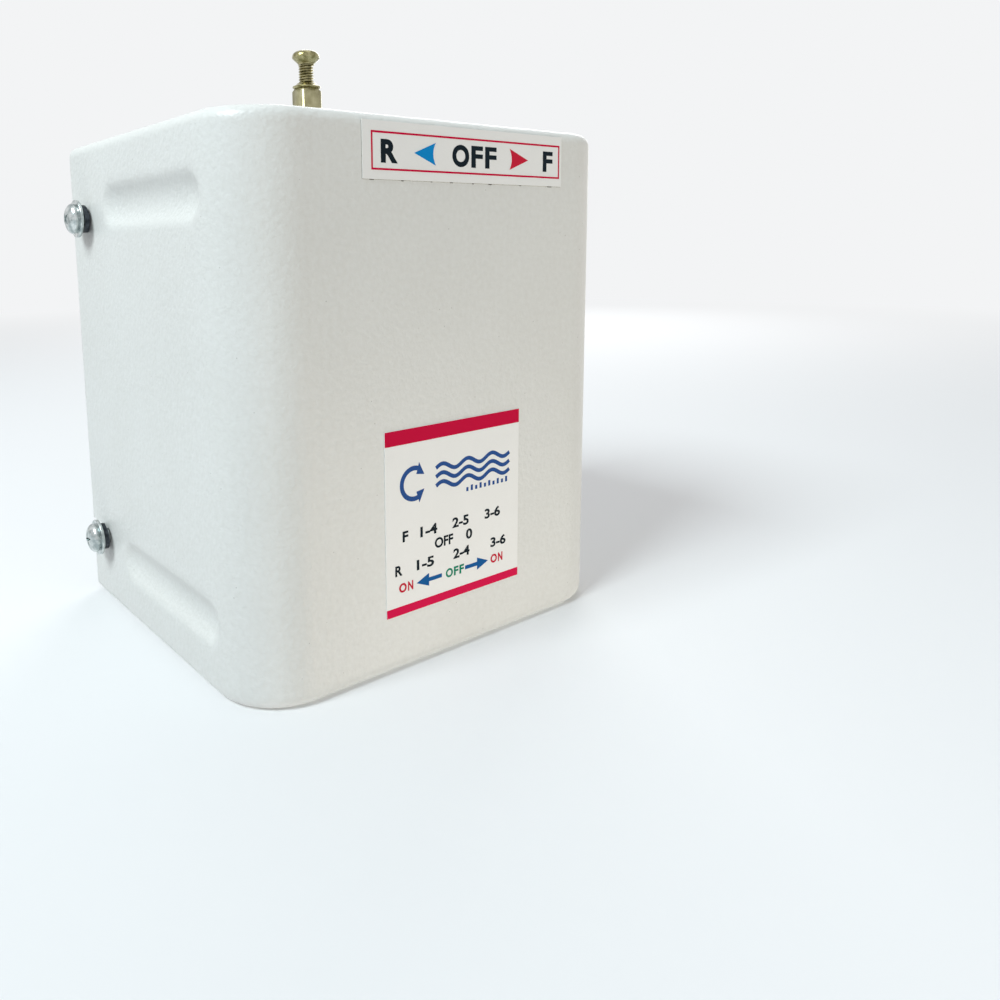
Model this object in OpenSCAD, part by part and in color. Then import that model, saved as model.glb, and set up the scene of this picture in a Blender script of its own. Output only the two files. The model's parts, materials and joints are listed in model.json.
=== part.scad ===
// Reversing drum switch in a sheet steel case.
// X runs to the right, Y to the rear and Z up. The case stands on the lower rim of its cover,
// with the origin under the middle of the cover. Angles on the drum are counted from the front,
// positive towards the right side.

/* [Cover] */
// Width of the cover over its side walls
box_w = 115; // [105:1:135]
// Depth of the cover from its front face to its rear edges
box_d = 96; // [84:1:120]
// Height of the cover over its two rims
box_h = 129; // [112:1:160]
// Thickness of the cover's sheet steel
sheet_t = 1.2; // [0.8:0.1:1.5]
// Outer radius of the two upright front corners
corner_r = 16; // [12:1:20]
// Outer radius of the rolled edge between the walls and the rims
edge_r = 3; // [2.5:0.1:4]
// Width of the rim that is turned in at the top and bottom
lip_w = 5.4; // [4.5:0.1:8]

/* [Pressed recesses] */
// Height of each recess at the wall's surface
recess_h = 10.5; // [8:0.5:13]
// Depth of each recess
recess_depth = 2; // [1:0.1:2.2]
// Distance from the cover's end to the recess's middle line
recess_from_end = 17.2; // [14:0.1:22]
// Distance from the front face to the recess's front end
recess_from_front = 15; // [10:1:20]
// Distance from the recess's rear end to the cover's rear edge
recess_from_rear = 25; // [20:1:40]

/* [Labels] */
// Width of the position label
position_label_w = 62.8; // [50:0.1:64]
// Height of the position label
position_label_h = 12.3; // [9:0.1:14]
// Distance of the position label's middle from the middle of the front
position_label_x = 4.9; // [-5:0.1:6]
// Distance from the cover's top to the label's upper edge
position_label_drop = 1.8; // [1.5:0.1:6]
// Width of the rating label
rating_label_w = 43.4; // [30:0.1:60]
// Height of the rating label
rating_label_h = 44.6; // [30:0.1:60]
// Distance from the cover's lower rim to the label's lower edge
rating_label_rise = 14.3; // [6:0.1:30]
// Thickness of both labels
label_t = 0.2; // [0.1:0.05:0.4]

/* [Base frame] */
// Thickness of the base frame's steel
frame_t = 1.5; // [1.2:0.1:2]
// Distance from the cover's rims to the end plates' outer faces
end_inset = 5; // [4.6:0.1:6]
// Gap between the base frame and the cover's walls
frame_gap = 0.4; // [0.3:0.1:0.8]
// Outer radius of the frame's bends
bend_r = 2.5; // [2.2:0.1:4]
// Depth of the side flanges that take the cover's screws
flange_d = 20; // [17:1:24]
// Diameter of the four mounting holes
mount_hole_d = 5.5; // [4.5:0.1:6.5]
// Distance from the cover's sides to the mounting holes
mount_from_side = 17.5; // [15:0.5:22]
// Distance from the cover's rims to the mounting holes
mount_from_end = 14.5; // [12:0.5:18]

/* [Cover screws] */
// Thread diameter of the cover screws and of the earth screw
screw_d = 4; // [4:0.5:5]
// Diameter of their pan heads
pan_head_d = 8; // [7.5:0.1:10]
// Height of their pan heads
pan_head_h = 2.6; // [2.4:0.1:3.6]
// Diameter of the cover screws' flat washers
flat_washer_d = 10; // [9:0.1:12]
// Thickness of the flat washers
flat_washer_t = 0.8; // [0.8:0.1:1.4]
// Outer diameter of the spring washers
spring_washer_d = 7.4; // [7:0.1:9.5]
// Height of the spring washers, which aren't pressed flat
spring_washer_t = 2.4; // [1:0.1:2.6]
// Distance from the rear edge to the cover screws
fix_from_rear = 12; // [10:0.5:14]
// Distance from the cover's ends to the cover screws
fix_from_end = 20; // [18:0.5:24]
// Width of the square and hexagon nuts across their flats
nut_af = 7; // [7:0.5:9]
// Height of the nuts
nut_h = 3.2; // [3:0.1:4.5]

/* [Shaft] */
// Share of the case's depth in front of the shaft's axis
shaft_share = 0.651; // [0.64:0.001:0.665]
// Width of the shaft's square, a quarter of an inch
square_w = 6.35; // [6:0.05:6.6]
// Diameter of the shaft's upper journal
journal_d = 9; // [8.6:0.1:10]
// Diameter of the shaft's lower journal
tail_d = 6.3; // [5:0.1:6.3]
// Height of the shaft's top above the cover's rim
square_rise = 16; // [12:0.5:25]
// Height of the squared length at the shaft's top
square_l = 18; // [12:0.5:18]

/* [Handle screw] */
// Thread diameter of the handle screw
handle_screw_d = 4; // [3:0.1:4.2]
// Diameter of its head
handle_head_d = 7.8; // [6:0.1:8.5]
// Height of its head
handle_head_h = 3.8; // [2.5:0.1:4.5]
// Length of bare thread between head and washer
handle_screw_stand = 5; // [2:0.5:8]
// Diameter of its washer
handle_washer_d = 8; // [7:0.1:9]
// Thickness of its washer
handle_washer_t = 1.5; // [1:0.1:2]

/* [Drum] */
// Radius over the copper shoes' contact faces, as a share of the case's width and depth together
drum_share = 0.0948; // [0.09:0.0001:0.0995]
// Distance from the moulded barrel's surface to those faces
shoe_rise = 4; // [3.5:0.5:5]
// Angle between the switch's positions
throw_deg = 60; // [60]
// Angle that each shoe covers
shoe_deg = 36; // [30:1:40]
// Distance between the rows of contacts, as a share of the inner height
row_share = 0.2241; // [0.207:0.0001:0.232]
// Height of the space for cables under the lowest row, as a share of the inner height
wiring_share = 0.2457; // [0.233:0.0001:0.267]
// Height of one shoe
shoe_h = 6.6; // [5.5:0.1:7]

/* [Contact fingers] */
// Distance between a finger's tip and the shoes at rest
finger_gap = 0.3; // [0.2:0.1:0.5]
// Thickness of a finger's bar
finger_t = 3; // [2:0.5:3.5]
// Radius of a finger's rounded tip
tip_r = 4.5; // [3.5:0.1:5]
// Diameter of the finger pins
pin_d = 3; // [2.5:0.1:3.5]
// Length of a finger's spring, as a share of the case's width
spring_share = 0.0765; // [0.061:0.0005:0.082]
// Outer diameter of a finger's spring
spring_d = 7; // [6:0.1:7.4]

/* [Straps and boards] */
// Distance of the straps from the middle of the case, as a share of its width
strap_share = 0.2191; // [0.213:0.0001:0.226]
// Share of the case's depth in front of the straps' middle
strap_depth_share = 0.2542; // [0.25:0.0001:0.26]
// Width of a strap
strap_w = 14; // [12:0.5:15]
// Thickness of a strap
strap_t = 3; // [2.5:0.1:3.5]
// Width of the tabs at a strap's ends
tab_w = 11; // [8:0.5:11.5]
// Thickness of the moulded terminal boards
board_t = 6; // [4:0.5:7]

/* [Cable entries] */
// Diameter of the grommets over their flange
grommet_d = 29; // [28:0.5:30]
// Diameter of the cable entry holes
entry_d = 25; // [23:0.5:25]
// Distance of the cable entries from the middle of the case, as a share of its width
entry_share = 0.2296; // [0.222:0.0001:0.243]
// Share of the case's depth in front of the cable entries' middle
entry_depth_share = 0.5135; // [0.48:0.0001:0.52]

/* [Hidden] */
$fn = 64;

// One overrun for every cut
over = 1;
// Radial clearance of running journals and pins
running_gap = 0.05;
// Radial clearance of screws and rivets in their holes
screw_gap = 0.05;
// Clearance between seated pieces that slide over each other
slide_gap = 0.1;

// Colours
powder_white = "#e9ebe8";
zinc = "#c9ccd0";
yellow_zinc = "#cdbf86";
copper = "#b8734a";
brass = "#c2a14d";
bakelite = "#3a2419";
rubber_black = "#1a1c1e";

// Cover
front_y = -box_d / 2;
rear_y = box_d / 2;
inner_x = box_w / 2 - sheet_t;
recess_l = box_d - recess_from_front - recess_from_rear;

// Base frame
frame_x = inner_x - frame_gap;
frame_front_y = front_y + sheet_t + frame_gap;
frame_corner_r = corner_r - sheet_t - frame_gap;
floor_z = end_inset + frame_t;
ceiling_z = box_h - end_inset - frame_t;
inner_h = ceiling_z - floor_z;
flange_relief = 1;
mount_x = box_w / 2 - mount_from_side;
mount_z = box_h / 2;
mount_rise = mount_z - mount_from_end;

// Insulating liner inside the cover
liner_t = 0.8;
liner_gap = 0.2;
liner_end_gap = 24;
liner_rear_gap = 2;
liner_rear_y = rear_y - flange_d - liner_rear_gap;

// Cover screws and nuts
fix_y = rear_y - fix_from_rear;
notch_gap = 0.3;
notch_w = screw_d + 2 * notch_gap;
screw_tip_l = 2;
cross_w_share = 0.13;
cross_l_share = 0.62;
cross_depth_share = 0.45;
dome_share = 0.55;
spring_washer_split = 0.6;

// Earth screw, beside the rear edge of the bottom plate
earth_from_side = 20.7;
earth_x = earth_from_side - box_w / 2;
earth_from_rear = 10.8;
earth_y = rear_y - earth_from_rear;
earth_washer_d = 9.9;
earth_washer_t = 0.8;
earth_slot_w = 1.1;

// Drum
shoe_r = (box_w + box_d) * drum_share;
barrel_r = shoe_r - shoe_rise;

// Shaft and what is stacked on it
shaft_y = front_y + box_d * shaft_share;
square_top_z = box_h + square_rise;
square_corner_d = 1.37 * square_w;
square_fit = square_w + slide_gap;
tail_proud = 0.8;
tail_chamfer = 0.5;
tail_shoulder_gap = 0.3;
bush_flange_t = 3;
bush_flange_over = 5.7;
top_bush_wall = 2;
tail_bush_wall = 0.6;
bush_proud = 0.4;
bush_short = 0.2;
rows = 3;
row_z = [for (i = [0:rows - 1]) floor_z + inner_h * (wiring_share + i * row_share)];
barrel_over = 11;
barrel_z0 = row_z[0] - barrel_over;
barrel_z1 = row_z[rows - 1] + barrel_over;
ring_t = 1;
ring_d = 12;
ring_groove_d = 5;
ring_mouth_share = 2 / 3;
ring_mouth_w = ring_mouth_share * ring_groove_d;
star_hub_h = 3;
star_hub_r = 8;
star_t = 8;
star_under = 3;
star_r = shoe_r - star_under;
star_z0 = barrel_z1 + star_hub_h;
star_z1 = star_z0 + star_t;
notch_r = 3.4;
notch_out = 1;
notch_centre_r = star_r + notch_out;
stop_arm_t = 3;
stop_arm_w = 8;
stop_arm_over = 7;
stop_arm_r = shoe_r + stop_arm_over;
stop_arm_hub_r = 10;
stop_z1 = star_z1 + stop_arm_t;
stop_pin_d = 5;
stop_pin_out = 4;
stop_pin_r = shoe_r + stop_pin_out;
stop_pin_over = 1;
stop_margin_deg = 0.5;
stop_pin_deg = throw_deg + asin((stop_arm_w + stop_pin_d) / 2 / stop_pin_r) + stop_margin_deg;

// Handle screw
handle_bore_l = 14;
handle_slot_w = 1;
handle_slot_depth = 1.4;
handle_neck_h = 1.2;
handle_bevel = 0.6;

// Detent
detent_t = 0.8;
detent_post_w = 8;
detent_post_x = 27;
detent_y = shaft_y + notch_centre_r;
detent_bump_r = notch_r - 2 * slide_gap;
detent_screw_d = 3;
detent_head_d = 5.5;
detent_head_h = 2;
detent_drop = 1;

// Shoes and links on the drum
skin_gap = 0.1;
level_gap = 0.8;
link_t = 1.2;
link_h = 5;
link_deg = 14;
link_block_deg = 30;
shoe_r0 = barrel_r + skin_gap;
link_r1 = shoe_r0 + link_t;
forward_deg = [throw_deg / 2, throw_deg / 2 + 180];
reverse_deg = [180 - throw_deg / 2, 360 - throw_deg / 2];
shoe_screw_d = 3;
shoe_screw_l = 9;
shoe_head_d = 5.2;
shoe_head_h = 1.5;
shoe_head_sunk = 0.35;
shoe_slot_w = 0.9;
shoe_slot_depth = 0.7;

// Contact fingers, mirrored for the left side
tip_set_in = 0.4;
finger_x = shoe_r + finger_gap + tip_r + tip_set_in + finger_t / 2;
tip_h = 12;
tip_l = 11;
finger_h = 8.4;
hub_r = 4;
pivot_share = 0.276;
pivot_y = shaft_y - box_d * pivot_share;
spring_ahead = 10.5;
spring_y = shaft_y - spring_ahead;
spring_wall = 1;
spring_l = box_w * spring_share;
nub_d = 4.4;
nub_h = 1.4;

// Brackets behind the boards
bracket_t = 2;
bracket_h = 12;
ear_t = 1.6;
ear_r = 4.5;
arm_x = finger_x + finger_t / 2 + spring_l;
arm_over = 5;
foot_w = 9.4;
pin_head_d = 5;
pin_head_h = 1;

// Straps, boards and terminals
strap_y = front_y + box_d * strap_depth_share;
strap_x = box_w * strap_share;
board_rear_y = strap_y - strap_t / 2;
board_front_y = board_rear_y - board_t;
terminal_in = 3.4;
terminal_x = arm_x + bracket_t + terminal_in;
board_in_over = 4.2;
board_in_x = strap_x - strap_w / 2 - board_in_over;
board_out_over = 5;
board_out_x = terminal_x + board_out_over;
board_over = 14;
board_z0 = row_z[0] - board_over;
board_z1 = row_z[rows - 1] + board_over;
barrier_t = 2;
barrier_l = 8;
barrier_gap = 1;
barrier_x = strap_x + strap_w / 2 + barrier_gap;
terminal_screw_d = 4;
terminal_head_d = 7.5;
terminal_head_h = 3;
terminal_washer_d = 8;
terminal_washer_t = 1;
terminal_slot_w = 1.1;
terminal_slot_depth = 1.4;

// Weld beads over the straps' tabs
bead_r = 2.6;
bead_h = 1.3;
bead_pitch = 2.1;
bead_shares = [0.72, 0.92, 1, 0.88, 0.96, 0.74];

// Grommets
entry_y = front_y + box_d * entry_depth_share;
entry_x = box_w * entry_share;
grommet_flange_t = 1.5;
grommet_lip = 1.5;
grommet_inner_d = entry_d + 2 * grommet_lip;
grommet_inner_t = 1.5;
grommet_wall_t = 1.4;
grommet_step_shares = [0.79, 0.61, 0.44];
grommet_step_h = 1;
grommet_dish = 0.6;
grommet_dish_share = 0.3;

// A block with rounded corners, drawn from its lower left corner
module rounded_block(w, h, r) {
    translate([0, r]) square([w, h - 2 * r]);
    translate([r, 0]) square([w - 2 * r, h]);
    for (x = [r, w - r], y = [r, h - r]) translate([x, y]) circle(r);
}

// A plan outline with two rounded front corners and two rear corners of their own radius
module plan_outline(half_w, y0, y1, r, rear_r) {
    translate([-half_w, y0 + r]) square([2 * half_w, y1 - y0 - r - rear_r]);
    translate([-half_w + r, y0]) square([2 * (half_w - r), y1 - y0 - rear_r]);
    translate([-half_w + rear_r, y0 + r]) square([2 * (half_w - rear_r), y1 - y0 - r]);
    for (s = [-1, 1]) {
        translate([s * (half_w - r), y0 + r]) circle(r);
        if (rear_r > 0) translate([s * (half_w - rear_r), y1 - rear_r]) circle(rear_r);
    }
}

// Turns a piece that is drawn upwards so that it points along X, to the right
module along_x() {
    rotate([0, 90, 0]) children();
}

// Turns a piece that is drawn upwards so that it points to the rear
module along_y() {
    rotate([-90, 0, 0]) children();
}

// Moves what is drawn at the origin to the shaft's axis
module at_shaft() {
    translate([0, shaft_y, 0]) children();
}

// Turns what is drawn along X to an angle on the drum, counted from the front
module at_drum_angle(a) {
    rotate([0, 0, a - 90]) children();
}

// Draws its children on the right and mirrored on the left
module both_sides() {
    children();
    mirror([1, 0, 0]) children();
}

// A pan head on the plane z = 0, domed upwards
module pan_head(d, h) {
    sag = dome_share * h;
    dome_r = (d * d / 4 + sag * sag) / (2 * sag);
    intersection() {
        cylinder(d = d, h = h);
        translate([0, 0, h - dome_r]) sphere(dome_r);
    }
}

// A cross recess cut down from the plane z = 0
module cross_recess(d, h) {
    for (a = [0, 90]) rotate([0, 0, a])
        translate([-d * cross_l_share / 2, -d * cross_w_share / 2, -h * cross_depth_share])
            cube([d * cross_l_share, d * cross_w_share, h * cross_depth_share + over]);
}

// A slot cut down from the plane z = 0
module slot(l, w, depth) {
    translate([-l / 2 - over, -w / 2, -depth]) cube([l + 2 * over, w, depth + over]);
}

// A flat ring on the plane z = 0
module washer(d, hole_d, t) {
    difference() {
        cylinder(d = d, h = t);
        translate([0, 0, -over]) cylinder(d = hole_d, h = t + 2 * over);
    }
}

// The cover's section: a wall at the left with its rims turned to the right
module cover_section() {
    difference() {
        intersection() {
            rounded_block(4 * lip_w, box_h, edge_r);
            square([lip_w, box_h]);
        }
        translate([sheet_t, sheet_t])
            rounded_block(4 * lip_w, box_h - 2 * sheet_t, edge_r - sheet_t);
    }
}

// A straight run of the cover's section, from y = 0 forwards
module cover_run(l) {
    rotate([90, 0, 0]) linear_extrude(l) cover_section();
}

// A corner of the cover, turned about the upright line at the origin
module cover_corner() {
    rotate([0, 0, 180]) rotate_extrude(angle = 90)
        translate([corner_r, 0]) mirror([1, 0]) cover_section();
}

// A bar with round ends and the given radius, lying along Y from the recess's front end
module recess_bar(r, core_l) {
    along_y() rotate_extrude() intersection() {
        union() {
            square([r, core_l]);
            for (z = [0, core_l]) translate([0, z]) circle(r);
        }
        translate([0, -2 * r]) square([r, core_l + 4 * r]);
    }
}

recess_r = (recess_h * recess_h / 4 + recess_depth * recess_depth) / (2 * recess_depth);
recess_core_l = recess_l - recess_h;

// Places its children at the two recesses of the right side
module at_recesses() {
    for (z = [recess_from_end, box_h - recess_from_end])
        translate([box_w / 2 + recess_r - recess_depth,
            front_y + recess_from_front + recess_h / 2, z]) children();
}

// The cover: a wrapper with turned-in rims, pressed recesses and open notches for its screws
module cover() {
    color(powder_white) difference() {
        union() {
            translate([-(box_w / 2 - corner_r), front_y, 0])
                rotate([0, 0, 90]) cover_run(box_w - 2 * corner_r);
            both_sides() {
                translate([-box_w / 2, rear_y, 0]) cover_run(box_d - corner_r);
                translate([-(box_w / 2 - corner_r), front_y + corner_r, 0]) cover_corner();
                intersection() {
                    at_recesses() recess_bar(recess_r + sheet_t, recess_core_l);
                    translate([0, front_y, sheet_t])
                        cube([box_w / 2 - sheet_t / 2, box_d, box_h - 2 * sheet_t]);
                }
            }
        }
        both_sides() {
            at_recesses() recess_bar(recess_r, recess_core_l);
            for (z = [fix_from_end, box_h - fix_from_end]) translate([inner_x - over, fix_y, z]) {
                along_x() cylinder(d = notch_w, h = sheet_t + 2 * over);
                translate([0, 0, -notch_w / 2])
                    cube([sheet_t + 2 * over, fix_from_rear + over, notch_w]);
            }
        }
    }
}

// The label that names the handle's positions
module label_position() {
    color("white")
        translate([position_label_x - position_label_w / 2, front_y - label_t,
            box_h - position_label_drop - position_label_h])
            cube([position_label_w, label_t, position_label_h]);
}

// The lower label on the front
module label_rating() {
    color("white") translate([-rating_label_w / 2, front_y - label_t, rating_label_rise])
        cube([rating_label_w, label_t, rating_label_h]);
}

// The insulating liner inside the cover's walls
module cover_liner() {
    out_x = inner_x - liner_gap;
    out_y = front_y + sheet_t + liner_gap;
    out_r = corner_r - sheet_t - liner_gap;
    color("#8c7b62") translate([0, 0, liner_end_gap])
        linear_extrude(box_h - 2 * liner_end_gap) difference() {
            plan_outline(out_x, out_y, liner_rear_y, out_r, 0);
            plan_outline(out_x - liner_t, out_y + liner_t, liner_rear_y + over, out_r - liner_t, 0);
        }
}

// The base frame: back plate, two end plates and two side flanges, bent from one sheet
module back_frame() {
    color(powder_white) difference() {
        union() {
            intersection() {
                translate([-frame_x, 0, 0]) rotate([90, 0, 90]) linear_extrude(2 * frame_x)
                    difference() {
                        translate([frame_front_y - bend_r, end_inset]) rounded_block(
                            rear_y - frame_front_y + bend_r, box_h - 2 * end_inset, bend_r);
                        translate([frame_front_y - 2 * bend_r, floor_z]) rounded_block(
                            rear_y - frame_t - frame_front_y + 2 * bend_r,
                            ceiling_z - floor_z, bend_r - frame_t);
                    }
                linear_extrude(box_h)
                    plan_outline(frame_x, frame_front_y, rear_y, frame_corner_r, bend_r);
            }
            translate([0, 0, floor_z + flange_relief])
                linear_extrude(ceiling_z - floor_z - 2 * flange_relief) difference() {
                    intersection() {
                        plan_outline(frame_x, frame_front_y, rear_y, frame_corner_r, bend_r);
                        translate([-frame_x, rear_y - flange_d]) square([2 * frame_x, flange_d]);
                    }
                    plan_outline(frame_x - frame_t, frame_front_y, rear_y - frame_t,
                        frame_corner_r, bend_r - frame_t);
                }
        }
        for (x = [-1, 1], z = [-1, 1])
            translate([x * mount_x, rear_y - frame_t - over, mount_z + z * mount_rise])
                along_y() cylinder(d = mount_hole_d, h = frame_t + 2 * over);
        for (s = [-1, 1], z = [fix_from_end, box_h - fix_from_end])
            translate([s * (frame_x - frame_t / 2) - frame_t, fix_y, z])
                along_x() cylinder(d = screw_d + 2 * screw_gap, h = 2 * frame_t);
        for (s = [-1, 1]) translate([s * entry_x, entry_y, end_inset - over])
            cylinder(d = entry_d, h = frame_t + 2 * over);
        for (s = [-1, 1], z = [end_inset, ceiling_z])
            translate([s * strap_x - tab_w / 2 - screw_gap,
                strap_y - strap_t / 2 - screw_gap, z - over])
                cube([tab_w + 2 * screw_gap, strap_t + 2 * screw_gap, frame_t + 2 * over]);
        at_shaft() {
            translate([0, 0, end_inset - over])
                cylinder(d = tail_bush_d() + 2 * screw_gap, h = frame_t + 2 * over);
            translate([0, 0, ceiling_z - over])
                cylinder(d = top_bush_d() + 2 * screw_gap, h = frame_t + 2 * over);
        }
        translate([earth_x, earth_y, end_inset - over])
            cylinder(d = screw_d + 2 * screw_gap, h = frame_t + 2 * over);
    }
}

function tail_bore_d() = tail_d + 2 * running_gap;
function tail_bush_d() = tail_bore_d() + 2 * tail_bush_wall;
function top_bore_d() = journal_d + 2 * running_gap;
function top_bush_d() = top_bore_d() + 2 * top_bush_wall;

// The bush that carries the shaft's upper journal in the top plate
module top_bush() {
    color(brass) at_shaft() difference() {
        union() {
            translate([0, 0, ceiling_z - bush_flange_t])
                cylinder(d = top_bush_d() + 2 * bush_flange_over, h = bush_flange_t);
            translate([0, 0, ceiling_z - over])
                cylinder(d = top_bush_d(), h = frame_t + bush_proud + over);
        }
        translate([0, 0, ceiling_z - bush_flange_t - over])
            cylinder(d = top_bore_d(), h = bush_flange_t + frame_t + bush_proud + 2 * over);
    }
}

// The bush that carries the shaft's lower journal in the bottom plate
module bottom_bush() {
    color(brass) at_shaft() difference() {
        union() {
            translate([0, 0, floor_z])
                cylinder(d = tail_bush_d() + 2 * bush_flange_over, h = bush_flange_t);
            translate([0, 0, end_inset + bush_short])
                cylinder(d = tail_bush_d(), h = frame_t - bush_short + over);
        }
        translate([0, 0, end_inset - over])
            cylinder(d = tail_bore_d(), h = frame_t + bush_flange_t + 2 * over);
    }
}

// One upright strap between the end plates, its tabs in their slots
module strap(s) {
    color(zinc) translate([s * strap_x, strap_y, 0]) difference() {
        union() {
            translate([-strap_w / 2, -strap_t / 2, floor_z])
                cube([strap_w, strap_t, ceiling_z - floor_z]);
            translate([-tab_w / 2, -strap_t / 2, end_inset])
                cube([tab_w, strap_t, box_h - 2 * end_inset]);
        }
        for (z = board_screw_z) translate([0, -strap_t / 2 - over, z])
            along_y() cylinder(d = terminal_screw_d + 2 * screw_gap, h = strap_t + 2 * over);
    }
}

module left_strap() {
    strap(-1);
}

module right_strap() {
    strap(1);
}

// The weld beads that close the straps' tabs, on the outer faces of the end plates
module weld_beads() {
    n = len(bead_shares);
    drop = bead_r - bead_h;
    color(powder_white) for (s = [-1, 1], end = [0, 1])
        translate([s * strap_x, strap_y, end == 0 ? end_inset : box_h - end_inset])
            mirror([0, 0, end == 0 ? 1 : 0]) intersection() {
                for (i = [0:n - 1])
                    translate([(i - (n - 1) / 2) * bead_pitch, 0, -drop * bead_shares[i]])
                        sphere(bead_r * bead_shares[i]);
                translate([-tab_w, -tab_w / 2, 0]) cube([2 * tab_w, tab_w, bead_r]);
            }
}

board_screw_z = [for (i = [0:rows - 2]) (row_z[i] + row_z[i + 1]) / 2];

// One moulded terminal board in front of its strap, with barriers between the terminals
module board(s) {
    color(bakelite) mirror([s < 0 ? 1 : 0, 0, 0]) difference() {
        union() {
            translate([board_in_x, board_front_y, board_z0])
                cube([board_out_x - board_in_x, board_t, board_z1 - board_z0]);
            for (z = board_screw_z)
                translate([barrier_x, board_front_y - barrier_l, z - barrier_t / 2])
                    cube([board_out_x - barrier_x, barrier_l + over, barrier_t]);
        }
        for (z = board_screw_z) translate([strap_x, board_front_y - over, z])
            along_y() cylinder(d = terminal_screw_d + 2 * screw_gap, h = board_t + 2 * over);
        for (z = row_z) translate([terminal_x, board_front_y - over, z])
            along_y() cylinder(d = terminal_screw_d + 2 * screw_gap, h = board_t + 2 * over);
    }
}

module left_board() {
    board(-1);
}

module right_board() {
    board(1);
}

// A cheese head screw that points to the rear, its head's seat at the origin
module cheese_screw(d, l, head_d, head_h, slot_w, slot_depth) {
    along_y() difference() {
        union() {
            cylinder(d = d, h = l);
            translate([0, 0, -head_h]) cylinder(d = head_d, h = head_h);
        }
        translate([0, 0, -head_h]) rotate([180, 0, 0]) slot(head_d, slot_w, slot_depth);
    }
}

// The four screws that hold the boards on the straps
module board_screws() {
    color(zinc) both_sides() for (z = board_screw_z) translate([strap_x, board_front_y, z])
        cheese_screw(terminal_screw_d, board_t + strap_t, terminal_head_d, terminal_head_h,
            terminal_slot_w, terminal_slot_depth);
}

// The three right-hand brackets: a foot behind the board, an arm, and two ears for the pin
module brackets() {
    for (z = row_z) translate([0, 0, z - bracket_h / 2]) difference() {
        union() {
            translate([arm_x, board_rear_y, 0]) cube([foot_w, bracket_t, bracket_h]);
            translate([arm_x, board_rear_y, 0])
                cube([bracket_t, spring_y + arm_over - board_rear_y, bracket_h]);
            for (e = [0, bracket_h - ear_t]) translate([0, 0, e]) linear_extrude(ear_t) {
                translate([finger_x, pivot_y]) circle(ear_r);
                translate([finger_x, pivot_y - ear_r])
                    square([arm_x - finger_x + bracket_t / 2, 2 * ear_r]);
            }
            translate([arm_x - nub_h, spring_y, bracket_h / 2])
                along_x() cylinder(d = nub_d, h = nub_h + bracket_t / 2);
        }
        translate([finger_x, pivot_y, -over])
            cylinder(d = pin_d + 2 * screw_gap, h = bracket_h + 2 * over);
        translate([terminal_x, board_rear_y - over, bracket_h / 2])
            along_y() cylinder(d = terminal_screw_d + 2 * screw_gap, h = bracket_t + 2 * over);
    }
}

module left_brackets() {
    color(brass) mirror([1, 0, 0]) brackets();
}

module right_brackets() {
    color(brass) brackets();
}

// The six terminal screws, each through its washer, board and bracket
module terminal_screws() {
    color(brass) both_sides() for (z = row_z)
        translate([terminal_x, board_front_y - terminal_washer_t, z])
            cheese_screw(terminal_screw_d, terminal_washer_t + board_t + bracket_t,
                terminal_head_d, terminal_head_h, terminal_slot_w, terminal_slot_depth);
}

// The six washers under the terminal screws
module terminal_washers() {
    color(brass) both_sides() for (z = row_z)
        translate([terminal_x, board_front_y - terminal_washer_t, z]) along_y()
            washer(terminal_washer_d, terminal_screw_d + 2 * screw_gap, terminal_washer_t);
}

// The six pins that the fingers turn on, with riveted ends
module finger_pins() {
    color(zinc) both_sides() for (z = row_z) translate([finger_x, pivot_y, z]) {
        cylinder(d = pin_d, h = bracket_h + pin_head_h, center = true);
        for (e = [-1, 1]) translate([0, 0, e * (bracket_h + pin_head_h) / 2])
            cylinder(d = pin_head_d, h = pin_head_h, center = true);
    }
}

// One right-hand contact finger: a hub on its pin, a bar, a rounded tip and a spring's nub
module finger_right(z) {
    bar_x = finger_x - finger_t / 2;
    tip_x = shoe_r + finger_gap + tip_r;
    difference() {
        union() {
            translate([finger_x, pivot_y, z]) cylinder(r = hub_r, h = finger_h, center = true);
            translate([bar_x, pivot_y, z - finger_h / 2])
                cube([finger_t, shaft_y + tip_l / 2 - pivot_y, finger_h]);
            translate([tip_x, shaft_y, z]) cylinder(r = tip_r, h = tip_h, center = true);
            translate([tip_x, shaft_y - tip_l / 2, z - tip_h / 2])
                cube([bar_x + finger_t - tip_x, tip_l, tip_h]);
            translate([finger_x, spring_y, z])
                along_x() cylinder(d = nub_d, h = finger_t / 2 + nub_h);
        }
        translate([finger_x, pivot_y, z])
            cylinder(d = pin_d + 2 * running_gap, h = finger_h + 2 * over, center = true);
    }
}

// Fingers 1 to 3 are on the left and 4 to 6 on the right, each side from the top down
function contact_z(i) = row_z[rows - 1 - (i - 1) % rows];

module contact_finger(i) {
    color(copper) mirror([i <= rows ? 1 : 0, 0, 0]) finger_right(contact_z(i));
}

// A finger's spring, between the finger and its bracket's arm
module finger_spring(i) {
    color(zinc) mirror([i <= rows ? 1 : 0, 0, 0])
        translate([finger_x + finger_t / 2, spring_y, contact_z(i)])
            along_x() washer(spring_d, spring_d - 2 * spring_wall, spring_l);
}

// The two posts under the top plate that carry the detent spring
module detent_posts() {
    color(zinc) both_sides() difference() {
        translate([detent_post_x - detent_post_w / 2, detent_y + detent_t, star_z0 - detent_drop])
            cube([detent_post_w, detent_post_w, ceiling_z - star_z0 + detent_drop]);
        translate([detent_post_x, detent_y, (star_z0 + star_z1) / 2])
            along_y() cylinder(d = detent_screw_d + 2 * screw_gap, h = detent_post_w);
    }
}

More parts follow.
